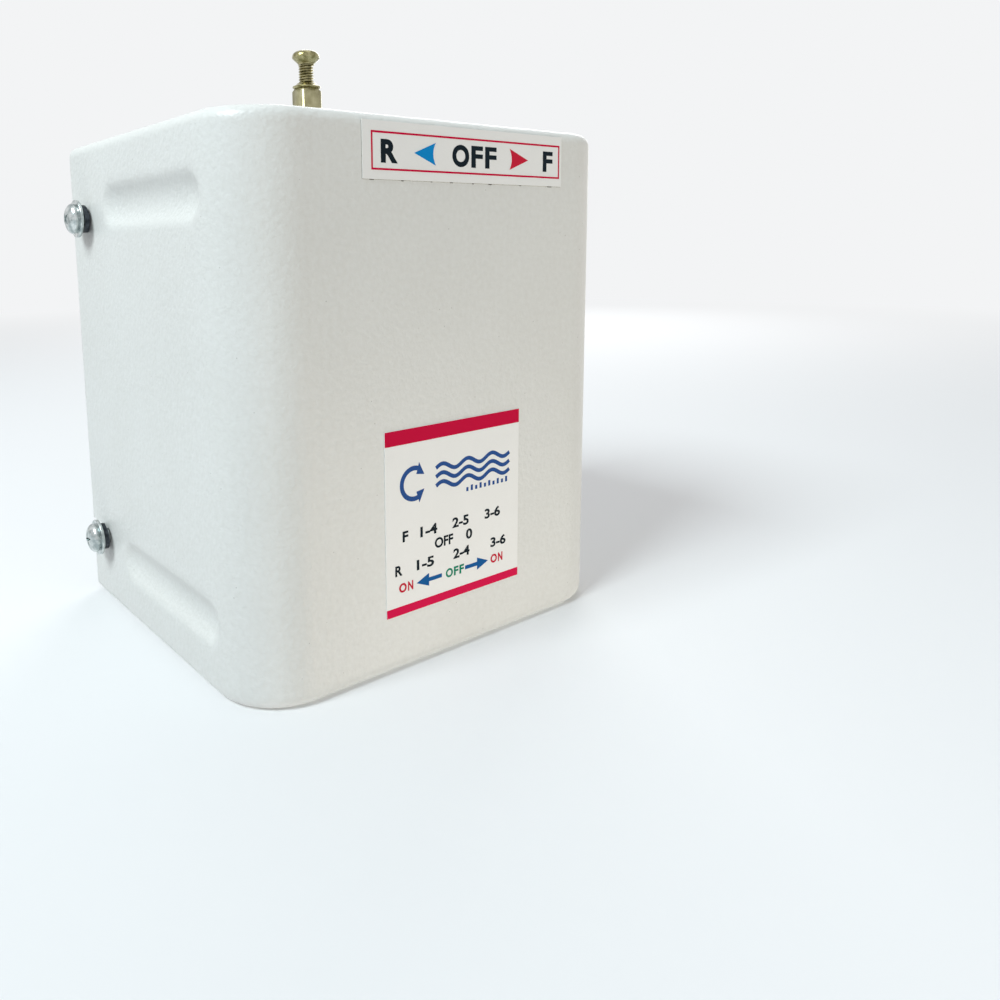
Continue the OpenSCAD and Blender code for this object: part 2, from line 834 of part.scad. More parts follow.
// The detent's leaf spring: a strip between the posts with a rolled bump in the star's notch
module detent_spring() {
    strip_l = detent_post_x + detent_post_w / 2;
    color(zinc) difference() {
        translate([0, detent_y, star_z0]) linear_extrude(star_t) {
            for (x0 = [-strip_l, detent_bump_r - detent_t / 2])
                translate([x0, 0]) square([strip_l - detent_bump_r + detent_t / 2, detent_t]);
            intersection() {
                difference() {
                    circle(detent_bump_r);
                    circle(detent_bump_r - detent_t);
                }
                translate([-detent_bump_r, -detent_bump_r])
                    square([2 * detent_bump_r, detent_bump_r + detent_t / 2]);
            }
        }
        both_sides() translate([detent_post_x, detent_y - over, (star_z0 + star_z1) / 2])
            along_y() cylinder(d = detent_screw_d + 2 * screw_gap, h = detent_t + 2 * over);
    }
}

// The two screws that hold the detent spring
module detent_screws() {
    color(zinc) both_sides() translate([detent_post_x, detent_y, (star_z0 + star_z1) / 2])
        cheese_screw(detent_screw_d, detent_t + detent_post_w / 2, detent_head_d, detent_head_h,
            shoe_slot_w, shoe_slot_depth);
}

// The two pins under the top plate that stop the arm at the end positions
module stop_pins() {
    color(zinc) at_shaft() for (s = [-1, 1]) at_drum_angle(s * stop_pin_deg)
        translate([stop_pin_r, 0, star_z1 - stop_pin_over])
            cylinder(d = stop_pin_d, h = ceiling_z - star_z1 + stop_pin_over);
}

// A blind rubber grommet, stepped downwards to a dished middle
module grommet(s) {
    r = grommet_d / 2;
    steps = [for (k = grommet_step_shares) k * r];
    low = end_inset - grommet_flange_t;
    color(rubber_black) translate([s * entry_x, entry_y, 0]) difference() {
        union() {
            translate([0, 0, low]) cylinder(r = r, h = grommet_flange_t);
            translate([0, 0, low])
                cylinder(d = entry_d - 2 * screw_gap, h = grommet_flange_t + frame_t + over);
            translate([0, 0, floor_z]) cylinder(d = grommet_inner_d, h = grommet_inner_t);
            for (i = [0:len(steps) - 1]) translate([0, 0, low - (i + 1) * grommet_step_h])
                cylinder(r = steps[i], h = (i + 1) * grommet_step_h + over);
        }
        translate([0, 0, low + grommet_wall_t])
            cylinder(r = steps[0] - grommet_wall_t, h = end_inset + frame_t);
        translate([0, 0, low - len(steps) * grommet_step_h - over])
            cylinder(r = grommet_dish_share * r, h = grommet_dish + over);
    }
}

module grommet_left() {
    grommet(-1);
}

module grommet_right() {
    grommet(1);
}

// The earth screw under the bottom plate, its head downwards
module earth_screw() {
    l = earth_washer_t + frame_t + nut_h + screw_tip_l;
    color(zinc) translate([earth_x, earth_y, end_inset - earth_washer_t]) difference() {
        union() {
            cylinder(d = screw_d, h = l);
            mirror([0, 0, 1]) pan_head(pan_head_d, pan_head_h);
        }
        mirror([0, 0, 1]) translate([0, 0, pan_head_h]) {
            cross_recess(pan_head_d, pan_head_h);
            slot(pan_head_d, earth_slot_w, pan_head_h * cross_depth_share / 2);
        }
    }
}

// The earth screw's washer
module earth_washer() {
    color(zinc) translate([earth_x, earth_y, end_inset - earth_washer_t])
        washer(earth_washer_d, screw_d + 2 * screw_gap, earth_washer_t);
}

// The earth screw's hexagon nut inside the case
module earth_nut() {
    color(zinc) translate([earth_x, earth_y, floor_z]) difference() {
        cylinder(d = nut_af / cos(30), h = nut_h, $fn = 6);
        translate([0, 0, -over]) cylinder(d = screw_d + 2 * screw_gap, h = nut_h + 2 * over);
    }
}

// Draws its children at the four cover screws, pointing outwards from the cover's wall
module at_cover_screws(x) {
    both_sides() for (z = [fix_from_end, box_h - fix_from_end]) translate([x, fix_y, z])
        along_x() children();
}

// The four pan head screws that clamp the cover to the frame's flanges
module cover_screws() {
    head_x = box_w / 2 + slide_gap + spring_washer_t + flat_washer_t;
    shank_l = head_x - (frame_x - frame_t - nut_h) + screw_tip_l;
    color(zinc) at_cover_screws(head_x) difference() {
        union() {
            pan_head(pan_head_d, pan_head_h);
            translate([0, 0, -shank_l]) cylinder(d = screw_d, h = shank_l + over);
        }
        translate([0, 0, pan_head_h]) cross_recess(pan_head_d, pan_head_h);
    }
}

// The flat washers under the cover screws' heads
module cover_washers() {
    color(zinc) at_cover_screws(box_w / 2 + slide_gap + spring_washer_t)
        washer(flat_washer_d, screw_d + 2 * screw_gap, flat_washer_t);
}

// The split spring washers between the flat washers and the cover
module cover_spring_washers() {
    color(zinc) at_cover_screws(box_w / 2 + slide_gap) difference() {
        washer(spring_washer_d, screw_d + 2 * screw_gap, spring_washer_t);
        translate([0, -spring_washer_split / 2, -over])
            cube([spring_washer_d, spring_washer_split, spring_washer_t + 2 * over]);
    }
}

// The square weld nuts behind the frame's flanges
module cover_nuts() {
    color(zinc) at_cover_screws(frame_x - frame_t - nut_h) difference() {
        translate([-nut_af / 2, -nut_af / 2, 0]) cube([nut_af, nut_af, nut_h]);
        translate([0, 0, -over]) cylinder(d = screw_d + 2 * screw_gap, h = nut_h + 2 * over);
    }
}

// A squared length of the shaft with slightly broken edges
module square_bar(z0, z1) {
    intersection() {
        translate([-square_w / 2, -square_w / 2, z0]) cube([square_w, square_w, z1 - z0]);
        translate([0, 0, z0 - over]) cylinder(d = square_corner_d, h = z1 - z0 + 2 * over);
    }
}

// The shaft: lower journal, square through the drum, upper journal and the square for a handle
module shaft() {
    tail_z0 = end_inset - tail_proud;
    square_z0 = floor_z + bush_flange_t + tail_shoulder_gap;
    journal_z1 = square_top_z - square_l;
    color(yellow_zinc) at_shaft() difference() {
        union() {
            rotate_extrude() polygon([[0, tail_z0], [tail_d / 2 - tail_chamfer, tail_z0],
                [tail_d / 2, tail_z0 + tail_chamfer], [tail_d / 2, square_z0 + over],
                [0, square_z0 + over]]);
            square_bar(square_z0, stop_z1 + over);
            translate([0, 0, stop_z1]) cylinder(d = journal_d, h = journal_z1 - stop_z1);
            square_bar(journal_z1 - over, square_top_z);
        }
        translate([0, 0, square_top_z - handle_bore_l])
            cylinder(d = handle_screw_d + 2 * screw_gap, h = handle_bore_l + over);
        translate([0, 0, barrel_z0 - slide_gap - ring_t - slide_gap])
            washer(ring_d, ring_groove_d, ring_t + 2 * slide_gap);
    }
}

// The screw that holds a handle, turned part of the way into the shaft's end
module handle_screw() {
    seat_z = square_top_z + handle_washer_t + handle_screw_stand;
    bore_z0 = square_top_z - handle_bore_l;
    color(yellow_zinc) at_shaft() translate([0, 0, seat_z]) difference() {
        union() {
            translate([0, 0, bore_z0 + over - seat_z])
                cylinder(d = handle_screw_d, h = seat_z - bore_z0 + handle_neck_h / 2 - over);
            cylinder(d1 = handle_screw_d + handle_bevel, d2 = handle_head_d, h = handle_neck_h);
            translate([0, 0, handle_neck_h]) pan_head(handle_head_d, handle_head_h - handle_neck_h);
        }
        translate([0, 0, handle_head_h]) slot(handle_head_d, handle_slot_w, handle_slot_depth);
    }
}

// The washer on the shaft's end, bevelled towards the thread
module handle_washer() {
    bore_r = handle_screw_d / 2 + screw_gap;
    color(yellow_zinc) at_shaft() translate([0, 0, square_top_z]) rotate_extrude()
        polygon([[bore_r, 0], [handle_washer_d / 2, 0],
            [handle_washer_d / 2, handle_washer_t - handle_bevel],
            [handle_washer_d / 2 - handle_bevel, handle_washer_t], [bore_r, handle_washer_t]]);
}

// The square hole through what is keyed on the shaft
module square_hole(z0, z1) {
    translate([-square_fit / 2, -square_fit / 2, z0 - over])
        cube([square_fit, square_fit, z1 - z0 + 2 * over]);
}

// The lower edge of each row's forward shoes and of its reverse shoes
function forward_z(row) = row_z[row] - level_gap / 2 - shoe_h;
function reverse_z(row) = row_z[row] + level_gap / 2;

// The moulded barrel that carries the shoes
module drum_barrel() {
    color(bakelite) at_shaft() difference() {
        translate([0, 0, barrel_z0]) cylinder(r = barrel_r, h = barrel_z1 - barrel_z0);
        square_hole(barrel_z0, barrel_z1);
        at_shoe_screws() translate([0, 0, -shoe_screw_l])
            cylinder(d = shoe_screw_d + 2 * screw_gap, h = shoe_screw_l + over);
    }
}

// Draws its children at the barrel's surface under each shoe's middle, pointing outwards
module at_shoe_screws() {
    for (row = [0:rows - 1]) {
        for (a = forward_deg) at_drum_angle(a)
            translate([barrel_r, 0, forward_z(row) + shoe_h / 2]) along_x() children();
        for (a = reverse_deg) at_drum_angle(a)
            translate([barrel_r, 0, reverse_z(row) + shoe_h / 2]) along_x() children();
    }
}

// A piece of ring on the drum between two radii, two heights and two angles
module ring_piece(r0, r1, z0, h, a0, a1) {
    at_drum_angle(a0) rotate_extrude(angle = a1 - a0) translate([r0, z0]) square([r1 - r0, h]);
}

// A shoe with its screw hole
module shoe(a, z0) {
    head_r = shoe_r - shoe_head_sunk - shoe_head_h;
    difference() {
        ring_piece(shoe_r0, shoe_r, z0, shoe_h, a - shoe_deg / 2, a + shoe_deg / 2);
        at_drum_angle(a) translate([0, 0, z0 + shoe_h / 2]) along_x() {
            cylinder(d = shoe_screw_d + 2 * screw_gap, h = shoe_r + over);
            translate([0, 0, head_r]) cylinder(d = shoe_head_d + 2 * screw_gap, h = shoe_r);
        }
    }
}

// The six shoes that the fingers meet in the forward position
module forward_shoes() {
    color(copper) at_shaft() for (row = [0:rows - 1], a = forward_deg) shoe(a, forward_z(row));
}

// The six shoes that the fingers meet in the reverse position
module reverse_shoes() {
    color(copper) at_shaft() for (row = [0:rows - 1], a = reverse_deg) shoe(a, reverse_z(row));
}

// A link that runs round the barrel between two angles
module link(z0, h, a0, a1) {
    ring_piece(shoe_r0, link_r1, z0, h, a0, a1);
}

// The half rings that join each row's two forward shoes
module forward_links() {
    color(copper) at_shaft() for (row = [0:rows - 1])
        link(forward_z(row), shoe_h,
            forward_deg[1] + shoe_deg / 2 - 360, forward_deg[0] - shoe_deg / 2);
}

// The half ring that joins the lowest row's two reverse shoes
module reverse_link() {
    color(copper) at_shaft()
        link(reverse_z(0), shoe_h, reverse_deg[0] + shoe_deg / 2, reverse_deg[1] - shoe_deg / 2);
}

// A flat-sided block round the shaft's axis that reaches past the links, between two angles
module link_block(z0, z1, a0, a1) {
    n = ceil((a1 - a0) / link_block_deg);
    edge = [for (i = [0:n]) a0 + (a1 - a0) * i / n - 90];
    translate([0, 0, z0]) linear_extrude(z1 - z0) polygon(concat(
        [for (i = [0:n]) 2 * link_r1 * [cos(edge[i]), sin(edge[i])]],
        [for (i = [n:-1:0]) link_r1 / 2 * [cos(edge[i]), sin(edge[i])]]));
}

// The two links that cross the reverse shoes of the middle and top rows
module crossover_links() {
    near = reverse_deg[0];
    far = reverse_deg[1];
    low_z = reverse_z(1) + shoe_h;
    band_z0 = (row_z[1] + row_z[2] - link_h) / 2;
    band_z1 = band_z0 + link_h;
    top_z = reverse_z(2);
    a_low = near - link_deg;
    a_high = 90 - link_deg / 2;
    b_high = near + shoe_deg / 2 - link_deg / 2;
    color(copper) at_shaft() intersection() {
        translate([0, 0, low_z]) difference() {
            cylinder(r = link_r1, h = top_z + shoe_h - low_z);
            translate([0, 0, -over]) cylinder(r = shoe_r0, h = top_z + shoe_h - low_z + 2 * over);
        }
        union() {
            link_block(low_z, band_z1, a_low, a_low + link_deg);
            link_block(band_z0, band_z1, a_high, a_low + link_deg);
            link_block(band_z0, top_z + shoe_h, a_high, a_high + link_deg);
            link_block(top_z, top_z + shoe_h, far + shoe_deg / 2 - 360, a_high + link_deg);
            link_block(low_z, band_z1, far - link_deg / 2, far + link_deg / 2);
            link_block(band_z0, band_z1, b_high, far + link_deg / 2);
            link_block(band_z0, top_z, b_high, b_high + link_deg);
        }
    }
}

// The twelve sunk screws that hold the shoes
module shoe_screws() {
    head_z = shoe_r - shoe_head_sunk - shoe_head_h - barrel_r;
    color(brass) at_shaft() at_shoe_screws() difference() {
        union() {
            translate([0, 0, over - shoe_screw_l])
                cylinder(d = shoe_screw_d, h = shoe_screw_l + head_z);
            translate([0, 0, head_z]) cylinder(d = shoe_head_d, h = shoe_head_h);
        }
        translate([0, 0, head_z + shoe_head_h]) rotate([0, 0, 90])
            slot(shoe_head_d, shoe_slot_w, shoe_slot_depth);
    }
}

// The star wheel, with a notch for each step of the throw and a hub down to the barrel
module star_wheel() {
    color(zinc) at_shaft() difference() {
        union() {
            translate([0, 0, barrel_z1]) cylinder(r = star_hub_r, h = star_hub_h + over);
            translate([0, 0, star_z0]) linear_extrude(star_t) difference() {
                circle(star_r);
                for (a = [0:throw_deg:359]) rotate(a + 90)
                    translate([notch_centre_r, 0]) circle(notch_r);
            }
        }
        square_hole(barrel_z1, star_z1);
    }
}

// The arm over the star wheel that meets the stop pins
module stop_arm() {
    color(zinc) at_shaft() difference() {
        translate([0, 0, star_z1]) linear_extrude(stop_arm_t) {
            circle(stop_arm_hub_r);
            translate([-stop_arm_w / 2, -stop_arm_r]) square([stop_arm_w, stop_arm_r]);
        }
        square_hole(star_z1, stop_z1);
    }
}

// The open ring in the shaft's groove, under the barrel
module retaining_ring() {
    color(zinc) at_shaft() translate([0, 0, barrel_z0 - slide_gap - ring_t]) difference() {
        washer(ring_d, ring_groove_d + 2 * screw_gap, ring_t);
        translate([-ring_mouth_w / 2, 0, -over])
            cube([ring_mouth_w, ring_d, ring_t + 2 * over]);
    }
}

cover();
label_position();
label_rating();
cover_liner();
back_frame();
top_bush();
bottom_bush();
left_strap();
right_strap();
weld_beads();
left_board();
right_board();
board_screws();
left_brackets();
right_brackets();
terminal_screws();
terminal_washers();
finger_pins();
detent_posts();
detent_spring();
detent_screws();
stop_pins();
grommet_left();
grommet_right();
earth_screw();
earth_washer();
earth_nut();
cover_screws();
cover_washers();
cover_spring_washers();
cover_nuts();
shaft();
handle_screw();
handle_washer();
drum_barrel();
forward_shoes();
reverse_shoes();
forward_links();
reverse_link();
crossover_links();
shoe_screws();
star_wheel();
stop_arm();
retaining_ring();
contact_finger(1);  // contact_finger_1
contact_finger(2);  // contact_finger_2
contact_finger(3);  // contact_finger_3
contact_finger(4);  // contact_finger_4
contact_finger(5);  // contact_finger_5
contact_finger(6);  // contact_finger_6
finger_spring(1);  // finger_spring_1
finger_spring(2);  // finger_spring_2
finger_spring(3);  // finger_spring_3
finger_spring(4);  // finger_spring_4
finger_spring(5);  // finger_spring_5
finger_spring(6);  // finger_spring_6
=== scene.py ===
"""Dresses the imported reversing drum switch: its case, prints, shaft, drum, contacts and a plain studio."""

import functools
import json
import logging
import math
from dataclasses import dataclass
from enum import Enum
from typing import Any, Iterable, Sequence

import bmesh
import bpy
from mathutils import Matrix, Vector, noise


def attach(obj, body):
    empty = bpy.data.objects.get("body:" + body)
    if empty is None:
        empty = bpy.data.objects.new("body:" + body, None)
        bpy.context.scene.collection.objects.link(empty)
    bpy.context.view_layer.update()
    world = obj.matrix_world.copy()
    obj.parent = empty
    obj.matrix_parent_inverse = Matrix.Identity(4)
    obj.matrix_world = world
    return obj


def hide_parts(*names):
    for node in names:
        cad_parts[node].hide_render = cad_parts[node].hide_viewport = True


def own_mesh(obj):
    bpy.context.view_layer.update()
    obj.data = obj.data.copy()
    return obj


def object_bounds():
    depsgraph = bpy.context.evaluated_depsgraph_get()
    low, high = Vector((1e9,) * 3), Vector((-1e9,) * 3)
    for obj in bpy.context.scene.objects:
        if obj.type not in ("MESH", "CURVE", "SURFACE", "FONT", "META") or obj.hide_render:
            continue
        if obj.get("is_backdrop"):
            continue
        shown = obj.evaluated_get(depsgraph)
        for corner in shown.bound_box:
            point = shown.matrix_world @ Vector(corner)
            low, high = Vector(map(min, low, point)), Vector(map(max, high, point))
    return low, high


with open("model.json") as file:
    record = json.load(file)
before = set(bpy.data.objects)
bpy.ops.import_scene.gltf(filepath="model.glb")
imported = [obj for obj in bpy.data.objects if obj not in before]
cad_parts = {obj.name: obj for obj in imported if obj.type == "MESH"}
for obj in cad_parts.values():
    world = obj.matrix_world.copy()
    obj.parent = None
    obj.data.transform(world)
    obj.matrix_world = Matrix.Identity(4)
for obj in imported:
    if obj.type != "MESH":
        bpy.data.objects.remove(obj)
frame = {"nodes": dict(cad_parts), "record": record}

MM = 0.001
# Corners closer than this are one corner
HAIR = 0.001 * MM
# The same for lettering, which is set about a metre high before it is brought to size
TYPE_HAIR = 1e-5
FULL_TURN = 2 * math.pi
FINGERS = range(1, 7)
log = logging.getLogger("drum_switch")

Colour = tuple[float, float, float, float]
Point = tuple[float, float]
Pair = tuple[float, float]
Place = tuple[float, float, float]
Trio = tuple[float, float, float]
# Words with the places of their left and right sides
Words = tuple[tuple[str, float, float], ...]
Looks = dict[str | int, Any]
Shape = bmesh.types.BMesh
Tree = bpy.types.NodeTree

# The record's material slot and body of each CAD node
SLOTS: dict[str, str] = {part["node"]: part["material_slot"] for part in frame["record"]["subparts"]}
BODIES: dict[str, str] = {
    node: body for body, nodes in frame["record"]["behaviour"]["bodies"].items() for node in nodes
}


def linear(code: str) -> Colour:
    """Turns an sRGB hex code into the linear colour that Blender's sockets take.

    Args:
        code: the colour as "#rrggbb".

    Returns:
        Red, green, blue and a full alpha.
    """
    channels = [int(code[i : i + 2], 16) / 255 for i in (1, 3, 5)]
    red, green, blue = (c / 12.92 if c <= 0.04045 else ((c + 0.055) / 1.055) ** 2.4 for c in channels)
    return red, green, blue, 1.0


def add_node(tree: Tree, kind: str, inputs: Looks | None = None, **settings: Any) -> bpy.types.Node:
    """Adds a node, sets its properties, and sets or links its inputs.

    Args:
        tree: the node tree to add to.
        kind: the node's type, without the prefix that all of them share.
        inputs: for each input a value, a socket, or a node whose first live output is meant.
        **settings: the node's own properties.

    Returns:
        The new node.
    """
    node = tree.nodes.new(f"ShaderNode{kind}")
    for name, value in settings.items():
        setattr(node, name, value)
    for name, value in (inputs or {}).items():
        if isinstance(value, bpy.types.Node):
            value = next(output for output in value.outputs if output.enabled)
        if isinstance(value, bpy.types.NodeSocket):
            tree.links.new(value, node.inputs[name])
        else:
            node.inputs[name].default_value = value
    return node


def bare_tree(owner: bpy.types.Material | bpy.types.World) -> Tree:
    """Empties the node tree of a new material or world.

    Args:
        owner: the material or the world.

    Returns:
        Its node tree.
    """
    owner.use_nodes = True
    owner.node_tree.nodes.clear()
    return owner.node_tree


def per_mm(grain: float) -> float:
    """Gives the scale of a pattern whose grains are so many millimetres wide."""
    return 1 / (grain * MM)


class Axis(Enum):
    """The three axes of the frame."""

    X = (1.0, 0.0, 0.0)
    Y = (0.0, 1.0, 0.0)
    Z = (0.0, 0.0, 1.0)

    def stretched(self, factor: float) -> Trio:
        """Gives a pattern's scale that is stretched by the factor along this axis."""
        return tuple(1.0 / factor if along else 1.0 for along in self.value)


@dataclass(frozen=True)
class Finish:
    """A finish with a plain colour. The kinds below add what its surface shows."""

    name: str
    colour: str
    roughness: float = 0.4
    metallic: float = 0.0
    specular: float = 0.5

    def build(self) -> bpy.types.Material:
        """Makes the material, with its pattern on Object coordinates.

        Returns:
            The material.
        """
        material = bpy.data.materials.new(self.name)
        material.diffuse_color = linear(self.colour)
        tree = bare_tree(material)
        place = add_node(tree, "TexCoord").outputs["Object"]
        looks = {"Base Color": linear(self.colour), "Metallic": self.metallic}
        looks |= {"Roughness": self.roughness, "Specular IOR Level": self.specular}
        shader = add_node(tree, "BsdfPrincipled", looks | self.detail(tree, place))
        add_node(tree, "OutputMaterial", {"Surface": shader})
        return material

    def detail(self, tree: Tree, place: bpy.types.NodeSocket) -> Looks:
        """Adds the pattern. A plain finish has none.

        Args:
            tree: the material's node tree.
            place: the Object coordinates.

        Returns:
            The nodes that drive the shader's inputs.
        """
        return {}


@functools.cache
def material_of(finish: Finish) -> bpy.types.Material:
    """Gives the one material of a finish, made on first use."""
    return finish.build()


@dataclass(frozen=True)
class PowderCoat(Finish):
    """Baked polyester powder on sheet steel: half gloss, a fine orange peel and a few dust specks."""

    shade: str = "#d9dad5"
    shade_mm: float = 28.0
    shade_share: float = 0.6
    peel_mm: float = 1.3
    peel_share: float = 0.8
    # Several times as deep as the real peel, which would be lost at the render's size
    peel_depth_mm: float = 0.17
    grain_mm: float = 0.6
    grain_share: float = 0.4
    speck_pitch_mm: float = 3.4
    speck_share: float = 0.05
    speck_strength: float = 0.75
    speck_colour: str = "#a3a29b"

    def detail(self, tree: Tree, place: bpy.types.NodeSocket) -> Looks:
        """Adds the orange peel, a faint change of shade and the specks.

        Args:
            tree: the material's node tree.
            place: the Object coordinates.

        Returns:
            The nodes that drive the shader's inputs.
        """
        peel = add_node(tree, "TexNoise", {"Vector": place, "Scale": per_mm(self.peel_mm), "Detail": 1.5})
        grain = add_node(tree, "TexNoise", {"Vector": place, "Scale": per_mm(self.grain_mm), "Detail": 2.0})
        height = add_node(tree, "Math", {0: grain, 1: self.grain_share, 2: peel}, operation="MULTIPLY_ADD")
        depth = self.peel_depth_mm * MM
        bump = add_node(tree, "Bump", {"Height": height, "Strength": 0.9, "Distance": depth})
        broad = add_node(tree, "TexNoise", {"Vector": place, "Scale": per_mm(self.shade_mm), "Detail": 3.0})
        even = 0.5 - (self.peel_share + self.shade_share) / 2
        share = add_node(tree, "Math", {0: broad, 1: self.shade_share, 2: even}, operation="MULTIPLY_ADD")
        mottle = add_node(tree, "Math", {0: peel, 1: self.peel_share, 2: share}, operation="MULTIPLY_ADD")
        tones = {0: mottle, 6: linear(self.colour), 7: linear(self.shade)}
        tone = add_node(tree, "Mix", tones, data_type="RGBA")
        cells = add_node(tree, "TexVoronoi", {"Vector": place, "Scale": per_mm(self.speck_pitch_mm)})
        edge = {"From Min": self.speck_share / 2, "From Max": self.speck_share}
        strength = {"To Min": self.speck_strength, "To Max": 0.0}
        speck = add_node(tree, "MapRange", {"Value": cells, **edge, **strength})
        colour = add_node(tree, "Mix", {0: speck, 6: tone, 7: linear(self.speck_colour)}, data_type="RGBA")
        return {"Base Color": colour, "Normal": bump}


@dataclass(frozen=True)
class Vinyl(Finish):
    """Self-adhesive vinyl: flatter than the powder coat, with soft waves where it follows it."""

    shade: str = "#d5d5d1"
    wave_mm: float = 5.0
    wave_depth_mm: float = 0.03
    fibre_mm: float = 0.35

    def detail(self, tree: Tree, place: bpy.types.NodeSocket) -> Looks:
        """Adds the waves and a faint mottle.

        Args:
            tree: the material's node tree.
            place: the Object coordinates.

        Returns:
            The nodes that drive the shader's inputs.
        """
        wave = add_node(tree, "TexNoise", {"Vector": place, "Scale": per_mm(self.wave_mm), "Detail": 2.0})
        fibre = add_node(tree, "TexNoise", {"Vector": place, "Scale": per_mm(self.fibre_mm), "Detail": 2.0})
        depth = self.wave_depth_mm * MM
        bump = add_node(tree, "Bump", {"Height": wave, "Strength": 0.5, "Distance": depth})
        mottle = add_node(tree, "Math", {0: wave, 1: fibre}, operation="MULTIPLY", use_clamp=True)
        tones = {0: mottle, 6: linear(self.colour), 7: linear(self.shade)}
        return {"Base Color": add_node(tree, "Mix", tones, data_type="RGBA"), "Normal": bump}


@dataclass(frozen=True)
class Ink(Vinyl):
    """Screen ink on vinyl: flat, even and slightly less glossy than the label."""

    roughness: float = 0.55
    specular: float = 0.06
    wave_depth_mm: float = 0.01


@dataclass(frozen=True)
class PlatedMetal(Finish):
    """Bare or plated metal: two tones in patches, a fine grain, and lines where it is drawn."""

    metallic: float = 1.0
    tint: str = "#b4b8bd"
    patch_mm: float = 3.0
    grain_mm: float = 0.25
    grain_depth_mm: float = 0.004
    spread: float = 0.12
    drawn: Axis | None = None
    stretch: float = 30.0

    def detail(self, tree: Tree, place: bpy.types.NodeSocket) -> Looks:
        """Adds the patches, the grain and its effect on the gloss.

        Args:
            tree: the material's node tree.
            place: the Object coordinates.

        Returns:
            The nodes that drive the shader's inputs.
        """
        patches = add_node(tree, "TexNoise", {"Vector": place, "Scale": per_mm(self.patch_mm), "Detail": 4.0})
        share = add_node(tree, "MapRange", {"Value": patches, "From Min": 0.38, "From Max": 0.62})
        tones = {0: share, 6: linear(self.colour), 7: linear(self.tint)}
        if self.drawn is not None:
            place = add_node(tree, "Mapping", {"Vector": place, "Scale": self.drawn.stretched(self.stretch)})
        grain = add_node(tree, "TexNoise", {"Vector": place, "Scale": per_mm(self.grain_mm), "Detail": 3.0})
        limits = {"To Min": self.roughness - self.spread / 2, "To Max": self.roughness + self.spread}
        gloss = add_node(tree, "MapRange", {"Value": grain, "From Min": 0.3, "From Max": 0.7, **limits})
        depth = self.grain_depth_mm * MM
        bump = add_node(tree, "Bump", {"Height": grain, "Strength": 0.6, "Distance": depth})
        tone = add_node(tree, "Mix", tones, data_type="RGBA")
        return {"Base Color": tone, "Roughness": gloss, "Normal": bump}


@dataclass(frozen=True)
class Moulded(Finish):
    """A moulded, filled plastic or rubber: flecks of its filler and a fine, dull skin."""

    fleck: str = "#4a3226"
    fleck_mm: float = 1.2
    fleck_share: float = 0.35
    skin_mm: float = 0.4
    skin_depth_mm: float = 0.01

    def detail(self, tree: Tree, place: bpy.types.NodeSocket) -> Looks:
        """Adds the flecks and the skin.

        Args:
            tree: the material's node tree.
            place: the Object coordinates.

        Returns:
            The nodes that drive the shader's inputs.
        """
        flecks = add_node(tree, "TexNoise", {"Vector": place, "Scale": per_mm(self.fleck_mm), "Detail": 5.0})
        edge = {"From Min": 0.52, "From Max": 0.7, "To Max": self.fleck_share}
        share = add_node(tree, "MapRange", {"Value": flecks, **edge})
        tones = {0: share, 6: linear(self.colour), 7: linear(self.fleck)}
        skin = add_node(tree, "TexNoise", {"Vector": place, "Scale": per_mm(self.skin_mm), "Detail": 3.0})
        depth = self.skin_depth_mm * MM
        bump = add_node(tree, "Bump", {"Height": skin, "Strength": 0.6, "Distance": depth})
        return {"Base Color": add_node(tree, "Mix", tones, data_type="RGBA"), "Normal": bump}


@dataclass(frozen=True)
class DustyRubber(Moulded):
    """Black moulded rubber with a ring of pale dust rubbed on round the middle of each grommet."""

    dust: str = "#6d6861"
    middle_mm: Point = (26.404, 1.296)
    dust_radius_mm: float = 4.1
    dust_width_mm: float = 2.0
    dust_grain_mm: float = 0.8

    def detail(self, tree: Tree, place: bpy.types.NodeSocket) -> Looks:
        """Adds dust by the distance from the nearer grommet's middle.

        Args:
            tree: the material's node tree.
            place: the Object coordinates.

        Returns:
            The nodes that drive the shader's inputs.
        """
        looks = super().detail(tree, place)
        split = add_node(tree, "SeparateXYZ", {0: place})
        across = add_node(tree, "Math", {0: split.outputs["X"]}, operation="ABSOLUTE")
        flat = add_node(tree, "CombineXYZ", {0: across, 1: split.outputs["Y"]})
        middle = (self.middle_mm[0] * MM, self.middle_mm[1] * MM, 0.0)
        reach = add_node(tree, "VectorMath", {0: flat, 1: middle}, operation="DISTANCE")
        off = add_node(tree, "Math", {0: reach, 1: self.dust_radius_mm * MM}, operation="SUBTRACT")
        far = add_node(tree, "Math", {0: off}, operation="ABSOLUTE")
        fading = {"Value": far, "From Max": self.dust_width_mm * MM, "To Min": 1.0, "To Max": 0.05}
        near = add_node(tree, "MapRange", fading, interpolation_type="SMOOTHSTEP")
        specks = {"Vector": place, "Scale": per_mm(self.dust_grain_mm), "Detail": 6.0, "Roughness": 0.7}
        share = add_node(tree, "Math", {0: near, 1: add_node(tree, "TexNoise", specks)}, operation="MULTIPLY")
        tones = {0: share, 6: looks["Base Color"], 7: linear(self.dust)}
        return looks | {"Base Color": add_node(tree, "Mix", tones, data_type="RGBA")}


# Printed vinyl: white with a satin skin
LABEL_VINYL = Vinyl("white_vinyl_label", "#f2f3f1", 0.45, shade="#e9ebe8")
